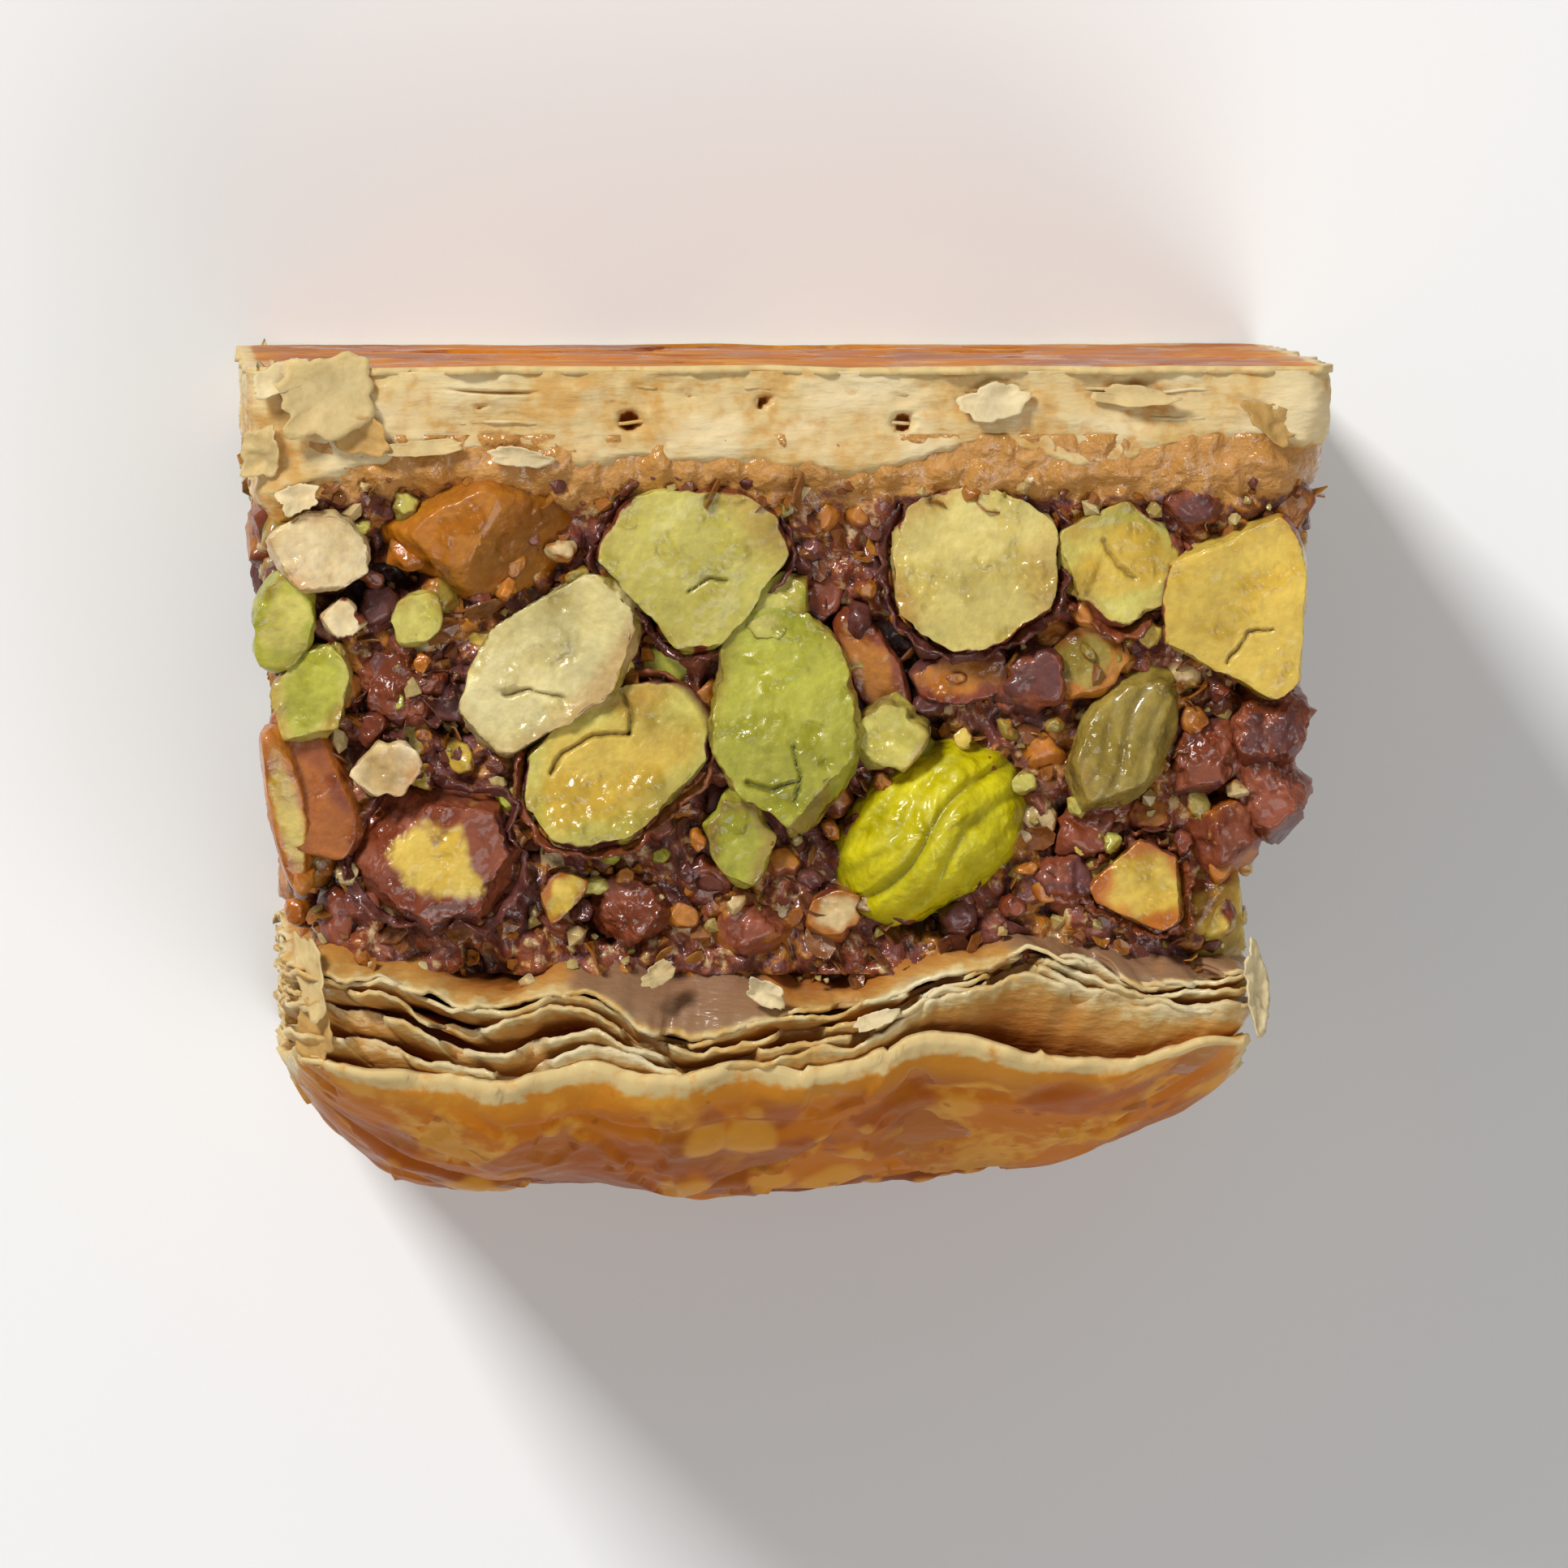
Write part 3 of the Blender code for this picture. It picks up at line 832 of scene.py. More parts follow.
def pressed_streaks(points, share):
    """The cut wall of the base: pressed leaves, soft and matte, with faint streaks, a few slits and pits."""
    wavy = points + np.array([0, 0.5, 0]) * MM * lumps(points, 8 * MM, 60)[..., None]
    streaked = wavy * (0.12, 1, 0.12)
    leaves = lumps(streaked, 0.36 * MM, 61) * smooth_step(0.5 + 1.5 * lumps(points, 4 * MM, 62))
    broad = crumble(points * (0.5, 1, 0.5), 2.4 * MM, 63)
    grain = crumble(points, 0.6 * MM, 67)
    slits = 1 - smooth_step((np.abs(lumps(streaked, 1.3 * MM, 64)) - 0.02) / 0.07)
    open_slit = smooth_step((lumps(points * (0.45, 0.3, 0.45), 3 * MM, 65) - 0.34) * 5) * slits
    pits = smooth_step((lumps(points, 1.0 * MM, 66) - 0.76) * 9)
    for x, y in ((-6.4, 14.7), (4.4, 14.6)):
        pits = np.maximum(pits, smooth_step(2.2 - np.hypot(points[..., 0] - x * MM, points[..., 1] - y * MM) / (
            0.22 * MM)) * (points[..., 2] > 0.8 * BASE_DEPTH))
    rolled = smooth_step((share - 0.82) / 0.18)
    outset = (0.02 * leaves + 0.32 * broad + 0.09 * grain - 0.4 * open_slit - 0.9 * pits - 0.7 * rolled) * MM
    clouds = lumps(points, 5 * MM, 68)
    # Painted shade and light: the toast and shade share browns the open slits, the pits and the parts that sink back,
    # and the rim share makes the bulges paler; the clouds are the leaves' own browning.
    toast = np.clip(0.42 + 0.4 * open_slit + 0.9 * pits - 0.3 * broad + 0.35 * rolled + 0.35 * clouds, 0, 1)
    return outset, {"toast": toast, "rim": np.clip(0.98 + 0.03 * leaves + 0.1 * broad - 0.12 * rolled, 0, 1.1)}


def dark_inside(points, share):
    """The wall behind the puffed leaves: plain, and painted dark amber, as shade that shows between them."""
    return np.zeros(share.shape), {"toast": np.full(share.shape, 0.9)}


def thin_sheet(columns, rows, wide, tall, thickness, ragged, crumple, seed):
    """A small torn sheet with a ragged outline and crumples: closed rows of points and their faces."""
    angle = np.linspace(0, 2 * math.pi, columns, endpoint=False)
    ring = np.stack([np.cos(angle), np.sin(angle), np.zeros(columns)], axis=1)
    reach = 1 + ragged * crumble(ring, 0.7, seed, 4)
    shares = np.linspace(0.08, 1, rows)
    layers = []
    for side, order in ((0.5, 1), (-0.5, -1)):
        for share in shares[::order]:
            row = ring * (reach * share)[:, None] * (wide / 2, tall / 2, 1)
            lift = crumple * crumble(row, 0.6 * wide, seed + 5) + 0.4 * crumple * (share * share)
            row[:, 2] = lift + side * thickness
            layers.append(row)
    faces = grid_faces(len(layers), columns, True).tolist()
    faces.append(list(range(columns))[::-1])
    faces.append(list(range((len(layers) - 1) * columns, len(layers) * columns)))
    return np.concatenate(layers), faces


# --- Chopped kernels ------------------------------------------------------------------------------------------


def ball_directions(detail):
    """Directions and triangles of an even ball; +Z is the side of a kernel that shows."""
    ball = bmesh.new()
    bmesh.ops.create_icosphere(ball, subdivisions=detail, radius=1.0)
    ball.verts.ensure_lookup_table()
    ways = np.array([vertex.co for vertex in ball.verts])
    triangles = np.array([[vertex.index for vertex in face.verts] for face in ball.faces])
    ball.free()
    return ways / np.linalg.norm(ways, axis=1)[:, None], triangles


def spread_over_face(ways, height):
    """Bends even directions so that they are evenly spread over a flat face at a height above the middle."""
    polar = np.arccos(np.clip(ways[:, 2], -1, 1))
    turn = np.arctan2(ways[:, 1], ways[:, 0])
    border = 0.58 * math.pi
    rim = math.atan(1.1 / height)
    bent = np.where(polar < border, np.arctan(1.1 * polar / border / height),
                    rim + (math.pi - rim) * (polar - border) / (math.pi - border))
    return np.stack([np.sin(bent) * np.cos(turn), np.sin(bent) * np.sin(turn), np.cos(bent)], axis=1)


BALLS = {detail: ball_directions(detail) for detail in (1, 3, 4, 5, 6)}


def smooth_min(first, second, blend):
    """The smaller of two numbers with a rounded change-over, and the share of the second."""
    share = np.clip(0.5 + 0.5 * (first - second) / blend, 0, 1)
    return mix(first, second, share) - blend * share * (1 - share), share


def facing_way(angle, tilt):
    """A direction at an angle round the kernel, tilted up from its side by so many degrees."""
    angle, tilt = math.radians(angle), math.radians(tilt)
    return np.array([math.cos(angle) * math.cos(tilt), math.sin(angle) * math.cos(tilt), math.sin(tilt)])


class Kernel:
    """One pistachio kernel or a chopped part of it, made as distances from its middle in each direction."""

    def __init__(self, size, seed, detail=5, chops=(), facets=6, face=0.5, second=0.0, groove=0.0, notch=0.0,
                 lumpy=0.06, wrinkle=0.02, rough=1.0, soft=0.04, cracks=(), flesh=PALE_FLESH, rim=None,
                 skin=RED_BROWN, bare=0.1, heart=None):
        random = np.random.default_rng(seed)
        ways, self.triangles = BALLS[detail]
        self.radii = radii = np.array(size) / 2
        self.mean = mean = float(radii[:2].mean())
        self.seed = seed
        ways = spread_over_face(ways, min(face, 0.8) * radii[2] / mean)
        reach = 1 / np.linalg.norm(ways / radii, axis=1)
        reach *= 1 + 2.0 * lumpy * lumps(ways * (1, 1, 0.4), 0.8, seed)
        flat_way = ways[:, :2] / np.maximum(np.linalg.norm(ways[:, :2], axis=1), 0.05)[:, None]
        ring = np.column_stack([flat_way, 0.6 * ways[:, 2]])
        reach *= 1 + 0.055 * rough * crumble(ring, 0.32, seed + 41, 4)
        if notch:
            angle = np.arctan2(ways[:, 1], ways[:, 0])
            gap = np.abs((angle - math.pi / 2 + math.pi) % (2 * math.pi) - math.pi)
            reach *= 1 - notch * np.exp(-((gap / 0.4) ** 2))
        knaps = [(random.uniform(0, 360), random.uniform(-30, 40), random.uniform(0.80, 0.97)) for _ in range(facets)]
        sliced = np.zeros(len(ways))
        for number, (angle, tilt, distance) in enumerate((*chops, *knaps)):
            normal = facing_way(angle, tilt)
            limit = distance * np.linalg.norm(radii * normal) / np.maximum(ways @ normal, 0.02)
            limit *= 1 + 0.05 * lumps(ring, 0.45, seed + 3 + number) + 0.03 * rough * crumble(ring, 0.16, seed + 42)
            reach, share = smooth_min(reach, limit, soft * mean)
            if number < len(chops):
                sliced = np.maximum(sliced * (1 - share), share)
        # The knife's cut, and a second break that leaves a ridge across it.
        slices = [(facing_way(0, 90), face * radii[2], 0.03)]
        if second:
            break_way = facing_way(random.uniform(0, 360), 90 - random.uniform(10, 22))
            ridge = np.array([*(second * radii[:2] * break_way[:2] * 2.2), face * radii[2]])
            slices.append((break_way, ridge @ break_way, 0.1))
        for normal, distance, blend in slices:
            top = distance / np.maximum(ways @ normal, 0.02)
            reach, share = smooth_min(reach, top, blend * mean)
            sliced = np.maximum(sliced * (1 - share), share)
        outer = 1 - sliced
        self.cut = sliced
        reach *= 1 + wrinkle * outer * crumble(ways * (1, 2.2, 1.6), 0.3, seed + 9)
        points = ways * reach[:, None]
        edge = 4 * sliced * outer
        chipped = (0.16 * edge + (0.5 * lumpy + 0.03) * outer) * rough
        points += ways * (chipped * crumble(points, 0.75 * MM, seed + 6, 3) * MM)[:, None]
        points[:, 2] += sliced * rough * (0.05 * crumble(points, 0.9 * MM, seed + 7, 4) + 0.10 * lumps(
            points, 2.6 * MM, seed + 8)) * MM
        # Painted shade along the grooves and cracks, which darkens the tint below.
        self.painted_shade = np.zeros(len(points))
        if groove:
            line = points[:, 1] - 0.12 * mean * np.sin(points[:, 0] / mean * 2.5)
            for offset, share in ((0.0, 1.0), (0.30, 0.5), (-0.34, 0.6), (0.55, 0.35), (-0.62, 0.3)):
                wander = 0.06 * mean * lumps(points, 0.8 * mean, seed + 21)
                dip = np.exp(-(((line - offset * mean + wander) / (0.06 * mean)) ** 2)) * (points[:, 2] > 0) * share
                points[:, 2] -= groove * mean * dip
                self.painted_shade += 0.35 * dip
        wander = 0.14 * MM * np.stack([crumble(points, 0.8 * MM, seed + 50 + k) for k in range(2)], axis=1)
        for line in cracks:
            away = np.full(len(points), 1.0)
            for start, end in zip(line, line[1:]):
                start, run = np.array(start) * MM, (np.array(end) - start) * MM
                from_start = points[:, :2] + wander - start
                along = np.clip(from_start @ run / (run @ run), 0, 1)
                away = np.minimum(away, np.linalg.norm(from_start - along[:, None] * run, axis=1))
            width = (0.07 + 0.05 * lumps(points, 1.2 * MM, seed + 54)) * MM
            gap = np.exp(-((away / width) ** 2)) * (points[:, 2] > 0)
            points[:, 2] -= 0.30 * MM * gap
            self.painted_shade += 0.7 * gap
        self.points = points
        spots = points / mean
        flesh, rim = np.array(flesh), np.array(rim if rim is not None else flesh)
        radial = np.hypot(points[:, 0] / radii[0], points[:, 1] / radii[1])
        towards_rim = smooth_step((radial + 0.3 * lumps(spots, 0.5, seed + 11) - 0.5) / 0.35)[:, None]
        tint = mix(flesh, rim, towards_rim)
        if heart is not None:
            squared = np.maximum(np.abs(points[:, 0] / radii[0] + 0.1), np.abs(points[:, 1] / radii[1] - 0.05))
            inner = smooth_step(6 * (0.44 - squared + 0.55 * crumble(spots, 0.7, seed + 12, 4)))[:, None]
            tint = mix(tint, np.array(heart), inner)
        browned = smooth_step(2.2 * (radial - 0.75) + 1.2 * lumps(spots, 0.9, seed + 17))[:, None]
        tint = mix(tint, tint * (0.80, 0.58, 0.42), 0.75 * browned)
        mottle = crumble(spots, 0.5, seed + 13)[:, None]
        drift = lumps(spots, 1.3, seed + 14)[:, None]
        tint = tint * (1 + 0.22 * mottle + np.array([0.22, 0.24, 0.42]) * drift)
        grain = crumble(points, 0.35 * MM, seed + 16)[:, None]
        tint = tint * (1 + 0.12 * grain)
        covered = smooth_step((outer - 0.55) * 4) * smooth_step((lumps(spots, 0.6, seed + 15) + 1 - 2 * bare) * 2.5)
        tint = mix(tint, np.array(skin) * (1 + 0.35 * mottle), covered[:, None])
        # Painted shade: the tint darkens in the grooves and cracks.
        tint = mix(tint, tint * tint * 0.5, np.clip(self.painted_shade, 0, 1)[:, None])
        self.tint = np.clip(tint, 0.002, 1)

    def frame(self, outward, turn):
        """The three directions of a kernel whose +Z looks outward, spun by turn degrees."""
        outward = np.array(outward, float) / np.linalg.norm(outward)
        side = np.cross((0, 1, 0), outward)
        side /= np.linalg.norm(side)
        up = np.cross(outward, side)
        spin = math.radians(turn)
        return np.stack([side * math.cos(spin) + up * math.sin(spin), up * math.cos(spin) - side * math.sin(spin),
                         outward])

    def collar(self):
        """A torn, crinkled band of papery skin round the cut flesh, as closed rows of points."""
        columns, heights = 150, (-1.1, -0.5, -0.05, 0.2)
        angle = np.linspace(0, 2 * math.pi, columns, endpoint=False)
        front = self.points[(self.cut > 0.5) & (self.points[:, 2] > 0)]
        angles = np.arctan2(front[:, 1], front[:, 0])
        far = np.hypot(front[:, 0], front[:, 1])
        reach = np.array([far[np.abs((angles - a + math.pi) % (2 * math.pi) - math.pi) < 0.12].max(initial=0)
                          for a in angle])
        reach = np.convolve(np.tile(reach, 3), np.ones(5) / 5, mode="same")[columns:2 * columns]
        level = front[:, 2].max()
        ring = np.stack([np.cos(angle), np.sin(angle), np.zeros(columns)], axis=1)
        torn = crumble(ring, 0.35, self.seed + 31, 4)
        rows = []
        for side, order in ((0.0, 1), (0.13 * MM, -1)):
            for height in heights[::order]:
                lip = smooth_step((height + 1.1) / 1.3)
                where = ring * 3 + (0, 0, height)
                crinkle = 0.30 * crumble(where, 0.5, self.seed + 33) * (0.3 + lip)
                flare = (0.05 + 0.25 * lip * (1 + lumps(ring, 0.7, self.seed + 35)) + crinkle) * MM + side
                fall = (height + 1.1) / 1.3 * (0.35 + 1.3 * torn) - 1.0
                row = ring * (reach + flare)[:, None]
                row[:, 2] = level + np.minimum(fall, 0.25) * MM + 0.1 * MM * crinkle
                rows.append(row)
        return np.array(rows)

    def placed(self, points, middle, outward, turn):
        return points @ self.frame(outward, turn) + np.array(middle)


class Pile:
    """Collects kernels into one mesh."""

    def __init__(self):
        self.points, self.faces, self.tints, self.count = [], [], [], 0

    def add(self, points, faces, tint):
        self.points.append(points)
        self.faces.extend([corner + self.count for corner in face] for face in faces)
        self.tints.append(tint)
        self.count += len(points)

    def drop(self, kernel, middle, outward=(0, 0, 1), turn=0.0):
        self.add(kernel.placed(kernel.points, middle, outward, turn), kernel.triangles, kernel.tint)

    def wrap(self, kernel, middle, outward, turn, colour):
        rows = kernel.collar()
        columns = rows.shape[1]
        faces = grid_faces(len(rows) + 1, columns, True) % (len(rows) * columns)
        points = kernel.placed(rows.reshape(-1, 3), middle, outward, turn)
        mottle = crumble(points, 0.9 * MM, kernel.seed + 37)[:, None]
        self.add(points, faces, np.clip(np.array(colour) * (1 + 0.6 * mottle), 0.002, 1))

    def finish(self, name, material):
        piece = make_piece(name, np.concatenate(self.points), self.faces, material,
                           tints={"tint": np.concatenate(self.tints)})
        return outwards(piece)


def on_cut(side, right, up, sunk=0.0):
    """A point on one of the filling's cut sides, from two shares of it, and the direction that side faces."""
    y = mix(FILLING_LOW.y, FILLING_HIGH.y, up)
    centre, half_width, depth = (float(value) for value in taper(y))
    if side in ("left", "right"):
        facing = -1 if side == "left" else 1
        return np.array([centre + facing * (half_width - sunk), y, right * depth]), np.array([facing, 0, 0])
    facing = -1 if side == "lower" else 1
    level = depth - sunk if side == "upper" else sunk
    return np.array([centre + (2 * right - 1) * half_width, y, level]), np.array([0, 0, facing])


WEDGE = ((22, 8, 0.66), (150, 8, 0.68), (264, 5, 0.75))
CHUNK = ((40, 15, 0.84), (130, 0, 0.88), (215, 20, 0.82), (310, 5, 0.88))
LUMP = dict(chops=CHUNK, lumpy=0.22, wrinkle=0.12, face=0.9, facets=8, second=0.3, rough=1.5)


def large_kernels():
    """The kernels that stand out on the upper cut side, each set one by one.

    A row holds the right and up shares of its place, its size in mm, its turn in degrees, how far its face is
    sunk in mm, the tint of a torn skin round it or None, and its form.
    """
    return (
        (0.210, 0.880, (8.4, 5.6, 5.0), 4, -0.5, None, dict(
            chops=((118, 20, 0.72), (58, 12, 0.80), (228, 25, 0.66), (322, 50, 0.50), (175, 20, 0.97)), face=0.72,
            flesh=HONEY, rim=HONEY, skin=HONEY, lumpy=0.03, wrinkle=0.0, facets=0, rough=0.4, soft=0.22,
            detail=6)),
        (0.275, 0.605, (9.4, 5.0, 5.0), 42, 0.1, None, dict(
            chops=((78, 5, 0.90), (258, 5, 0.92), (8, 5, 0.93), (196, 5, 0.9)), face=0.15, flesh=CREAM_FLESH,
            rim=CREAM_FLESH, skin=KHAKI, bare=0.4, lumpy=0.05, rough=1.5, detail=6,
            cracks=(((-1.8, -1.2), (-0.8, -1.0), (0.5, -1.4)),))),
        (0.412, 0.805, (7.8, 7.6, 5.0), 4, 0.0, PURPLE_SKIN, dict(
            notch=0.16, chops=((218, 0, 0.66), (320, 0, 0.70), (92, 0, 0.86)), face=0.2, flesh=YELLOW_GREEN,
            rim=YELLOW_GREEN, lumpy=0.04, cracks=(((-0.2, -0.9), (0.6, -0.3), (1.3, -0.4)),), facets=3, detail=6)),
        (0.680, 0.805, (7.0, 7.2, 5.0), 0, -0.1, PURPLE_SKIN, dict(
            face=0.2, flesh=PALE_FLESH, rim=PALE_FLESH, chops=((180, 10, 0.93), (60, 5, 0.9), (0, 5, 0.93)),
            lumpy=0.05, facets=10, detail=6)),
        (0.818, 0.815, (5.8, 4.6, 4.0), -15, 0.3, RED_BROWN, dict(
            chops=CHUNK, flesh=YELLOW_FLESH, rim=YELLOW_GREEN, lumpy=0.12, face=0.3, rough=1.6,
            cracks=(((-0.8, 0.9), (-0.2, -0.2), (0.5, -0.6)),), detail=5)),
        (0.940, 0.725, (8.6, 6.4, 5.0), 92, -0.1, None, dict(
            chops=WEDGE, face=0.2, flesh=YELLOW_FLESH, rim=YELLOW_FLESH, skin=RED_BROWN, lumpy=0.04,
            facets=3, cracks=(((-0.6, -2.2), (0.2, -1.0), (1.2, -0.9)),), detail=6)),
        (0.508, 0.490, (9.4, 6.2, 5.0), 94, -0.5, None, dict(
            face=0.3, flesh=LEAF_GREEN, rim=LEAF_GREEN, skin=KHAKI, lumpy=0.06, rough=1.5,
            chops=((80, 5, 0.96), (250, 5, 0.95)), cracks=(((0.3, -3.4), (0.5, -2.2), (0.2, -1.2)),
            ((-1.6, -2.6), (-0.6, -2.9), (0.3, -2.6))), facets=9, detail=6)),
        (0.660, 0.240, (8.8, 6.2, 6.4), 40, -1.0, None, dict(
            face=3.0, flesh=BRIGHT_GREEN, rim=BRIGHT_GREEN, skin=BRIGHT_GREEN, groove=0.10, lumpy=0.05,
            wrinkle=0.01, facets=0, detail=6)),
        (0.335, 0.385, (8.6, 5.8, 5.0), 34, -0.2, RED_BROWN, dict(
            chops=((100, 10, 0.90), (282, 5, 0.86), (190, 5, 0.93)), face=0.2, flesh=YELLOW_FLESH, rim=YELLOW_GREEN,
            skin=PURPLE_SKIN, lumpy=0.06, detail=6, cracks=(
                ((-2.45, -0.3), (-1.95, 0.5), (-0.72, 1.23), (0.72, 1.32)), ((0.72, 1.32), (0.81, 2.2), (0.4, 2.9)))),
        ),
        (0.845, 0.430, (6.8, 3.7, 3.8), 62, -0.2, None, dict(
            face=0.6, flesh=KHAKI, rim=KHAKI, skin=KHAKI, lumpy=0.05, wrinkle=0.03, groove=0.05, detail=5)),
        (0.062, 0.845, (4.4, 3.4, 2.4), -8, -0.3, None, dict(
            chops=CHUNK, flesh=WHITE_LEAF, skin=BEIGE, face=0.3, rough=1.5)),
        (0.022, 0.700, (4.2, 2.6, 3.4), 82, 0.2, None, dict(
            face=0.3, flesh=YELLOW_GREEN, rim=LEAF_GREEN, skin=LEAF_GREEN, bare=0.1, lumpy=0.1)),
        (0.042, 0.545, (4.6, 3.0, 3.2), 66, 0.1, None, dict(
            chops=CHUNK, flesh=LEAF_GREEN, rim=YELLOW_GREEN, skin=KHAKI, lumpy=0.12, face=0.3)),
        (0.160, 0.190, (7.2, 6.4, 5.0), 12, -0.1, PURPLE_SKIN, dict(
            chops=((70, 20, 0.8), (200, 25, 0.85), (320, 25, 0.8), (130, 45, 0.75)), face=0.6, flesh=RED_BROWN,
            rim=RED_BROWN, skin=PURPLE_SKIN, heart=YELLOW_FLESH, lumpy=0.12, wrinkle=0.06, facets=6, rough=1.6,
            detail=6)),
        (0.034, 0.290, (9.0, 3.8, 4.6), 104, 0.4, None, dict(
            chops=((152, 5, 0.42), (212, 5, 0.60), (88, 5, 0.8)), face=0.6, flesh=AMBER_LEAF, rim=RED_BROWN,
            skin=AMBER_LEAF, lumpy=0.05, wrinkle=0.01, rough=0.6, soft=0.12)),
        (0.006, 0.300, (8.0, 1.5, 3.0), 102, 0.1, None, dict(
            face=0.5, flesh=YELLOW_FLESH, rim=ORANGE, skin=ORANGE, lumpy=0.05)),
        (0.880, 0.125, (4.6, 3.6, 3.4), -18, 0.0, RED_BROWN, dict(
            chops=WEDGE, flesh=YELLOW_FLESH, rim=ORANGE, skin=RED_BROWN, bare=0.1, face=0.3)),
        (0.465, 0.225, (4.0, 2.6, 3.0), 96, 0.2, None, dict(
            face=0.4, flesh=LEAF_GREEN, rim=KHAKI, skin=LEAF_GREEN, bare=0.1, lumpy=0.14)),
        (0.612, 0.455, (3.6, 3.0, 2.8), 10, -0.2, None, dict(
            chops=CHUNK, flesh=YELLOW_GREEN, rim=YELLOW_GREEN, skin=KHAKI, lumpy=0.24, rough=1.6)),
        (0.495, 0.720, (3.8, 2.0, 2.6), 52, 0.3, None, dict(
            face=0.4, flesh=YELLOW_GREEN, rim=LEAF_GREEN, skin=KHAKI, lumpy=0.16)),
        (0.110, 0.385, (3.2, 2.2, 2.2), 20, -0.6, None, dict(
            chops=CHUNK, flesh=BEIGE, rim=WHITE_LEAF, skin=BEIGE, bare=0.0, lumpy=0.2, face=0.2)),
        (0.078, 0.700, (1.9, 1.5, 1.6), 0, -0.1, None, dict(chops=CHUNK, flesh=WHITE_LEAF, lumpy=0.24)),
        (0.590, 0.590, (5.4, 2.2, 2.8), 118, 0.9, None, dict(face=0.4, flesh=CARAMEL, rim=RED_BROWN, skin=RED_BROWN)),
        (0.795, 0.600, (4.2, 2.8, 3.0), 20, 0.7, None, dict(
            chops=CHUNK, flesh=KHAKI, rim=CARAMEL, skin=CARAMEL, face=0.4)),
        (0.680, 0.580, (4.4, 2.4, 2.6), 8, 0.7, None, dict(
            face=0.4, flesh=CARAMEL, rim=RED_BROWN, skin=PURPLE_SKIN)),
        (0.750, 0.570, (3.6, 3.0, 3.0), 40, -0.1, None, dict(LUMP, flesh=PURPLE_SKIN, rim=PURPLE_SKIN)),
        (0.880, 0.940, (2.8, 2.2, 2.4), 10, 0.2, None, dict(LUMP, flesh=PURPLE_SKIN, rim=RED_BROWN)),
        (0.930, 0.400, (4.0, 2.6, 2.8), 60, 0.3, None, dict(LUMP, flesh=RED_BROWN, rim=PURPLE_SKIN)),
        (0.960, 0.230, (3.6, 3.0, 2.8), 80, 0.5, None, dict(LUMP, flesh=RED_BROWN, rim=ORANGE)),
        (0.990, 0.470, (4.4, 3.4, 3.6), 70, 0.2, None, dict(LUMP, flesh=PURPLE_SKIN, rim=RED_BROWN)),
        (0.995, 0.330, (4.8, 3.6, 3.8), 96, 0.6, None, dict(LUMP, flesh=RED_BROWN, rim=PURPLE_SKIN)),
        (0.525, 0.940, (3.4, 2.2, 2.4), -20, 0.8, None, dict(LUMP, flesh=RED_BROWN, rim=CARAMEL)),
        (0.595, 0.800, (3.2, 2.4, 2.6), 70, 1.2, None, dict(LUMP, flesh=PURPLE_SKIN, rim=RED_BROWN)),
        (0.130, 0.560, (4.4, 3.8, 3.0), 30, 0.6, PURPLE_SKIN, dict(LUMP, flesh=RED_BROWN, rim=PURPLE_SKIN)),
        (0.150, 0.700, (2.6, 2.0, 2.2), 60, 0.4, None, dict(
            chops=CHUNK, flesh=YELLOW_GREEN, rim=YELLOW_GREEN, skin=KHAKI, face=0.3)),
        (0.355, 0.080, (3.8, 2.8, 2.8), -10, 0.4, None, dict(LUMP, flesh=RED_BROWN, rim=RED_BROWN)),
        (0.480, 0.030, (3.6, 2.2, 2.6), 6, 0.6, None, dict(LUMP, flesh=RED_BROWN, rim=CARAMEL)),
        (0.285, 0.110, (2.8, 1.6, 1.8), 50, 0.3, None, dict(
            chops=WEDGE, flesh=YELLOW_FLESH, rim=CARAMEL, face=0.2)),
        (0.565, 0.070, (2.6, 2.0, 2.0), 30, 0.3, None, dict(
            chops=CHUNK, flesh=BEIGE, rim=CARAMEL, lumpy=0.24, face=0.3)),
        (0.800, 0.140, (3.0, 2.6, 2.4), 0, 0.6, None, dict(LUMP, flesh=PURPLE_SKIN, rim=PURPLE_SKIN)),
        (0.820, 0.240, (3.0, 2.4, 2.4), 40, 0.6, None, dict(LUMP, flesh=RED_BROWN, rim=RED_BROWN)),
        (0.255, 0.480, (3.0, 2.0, 2.2), 80, 0.8, None, dict(LUMP, flesh=RED_BROWN, rim=RED_BROWN)),
    )


def kernels_on_upper_cut(finish):
    """The large kernels in two meshes, the plain ones and those with torn skin, and that skin in a third."""
    plain, skinned, skins = Pile(), Pile(), Pile()
    for seed, (right, up, size, turn, sunk, skin, form) in enumerate(large_kernels(), start=40):
        tilt = np.random.default_rng(seed).normal(0, 0.08, 2)
        spin = math.radians(turn)
        to_kernel = np.array([[math.cos(spin), -math.sin(spin)], [math.sin(spin), math.cos(spin)]])
        cracks = [np.array(line) @ to_kernel for line in form.get("cracks", ())]
        detail = form.get("detail", 5 if size[0] > 3.7 else 4)
        form = dict(form, detail=detail, cracks=cracks)
        kernel = Kernel([length * MM for length in size], seed, **form)
        top = min(1, form.get("face", 0.5)) * size[2] / 2
        middle = on_cut("upper", right, up, (sunk + top) * MM)[0]
        outward = (tilt[0], tilt[1], 1)
        (skinned if skin else plain).drop(kernel, middle, outward, turn)
        if skin:
            skins.wrap(kernel, middle, outward, turn, skin)
    return [plain.finish("green_kernels", finish), skinned.finish("skinned_kernels", finish),
            skins.finish("torn_skins", finish)]


CHOPPED_TINTS = (
    (PURPLE_SKIN, PURPLE_SKIN, 4), (RED_BROWN, PURPLE_SKIN, 5), (CARAMEL, RED_BROWN, 4), (KHAKI, CARAMEL, 3),
    (YELLOW_FLESH, RED_BROWN, 3), (YELLOW_GREEN, KHAKI, 2), (LEAF_GREEN, KHAKI, 1), (ORANGE, CARAMEL, 3),
    (BEIGE, CARAMEL, 3),
)


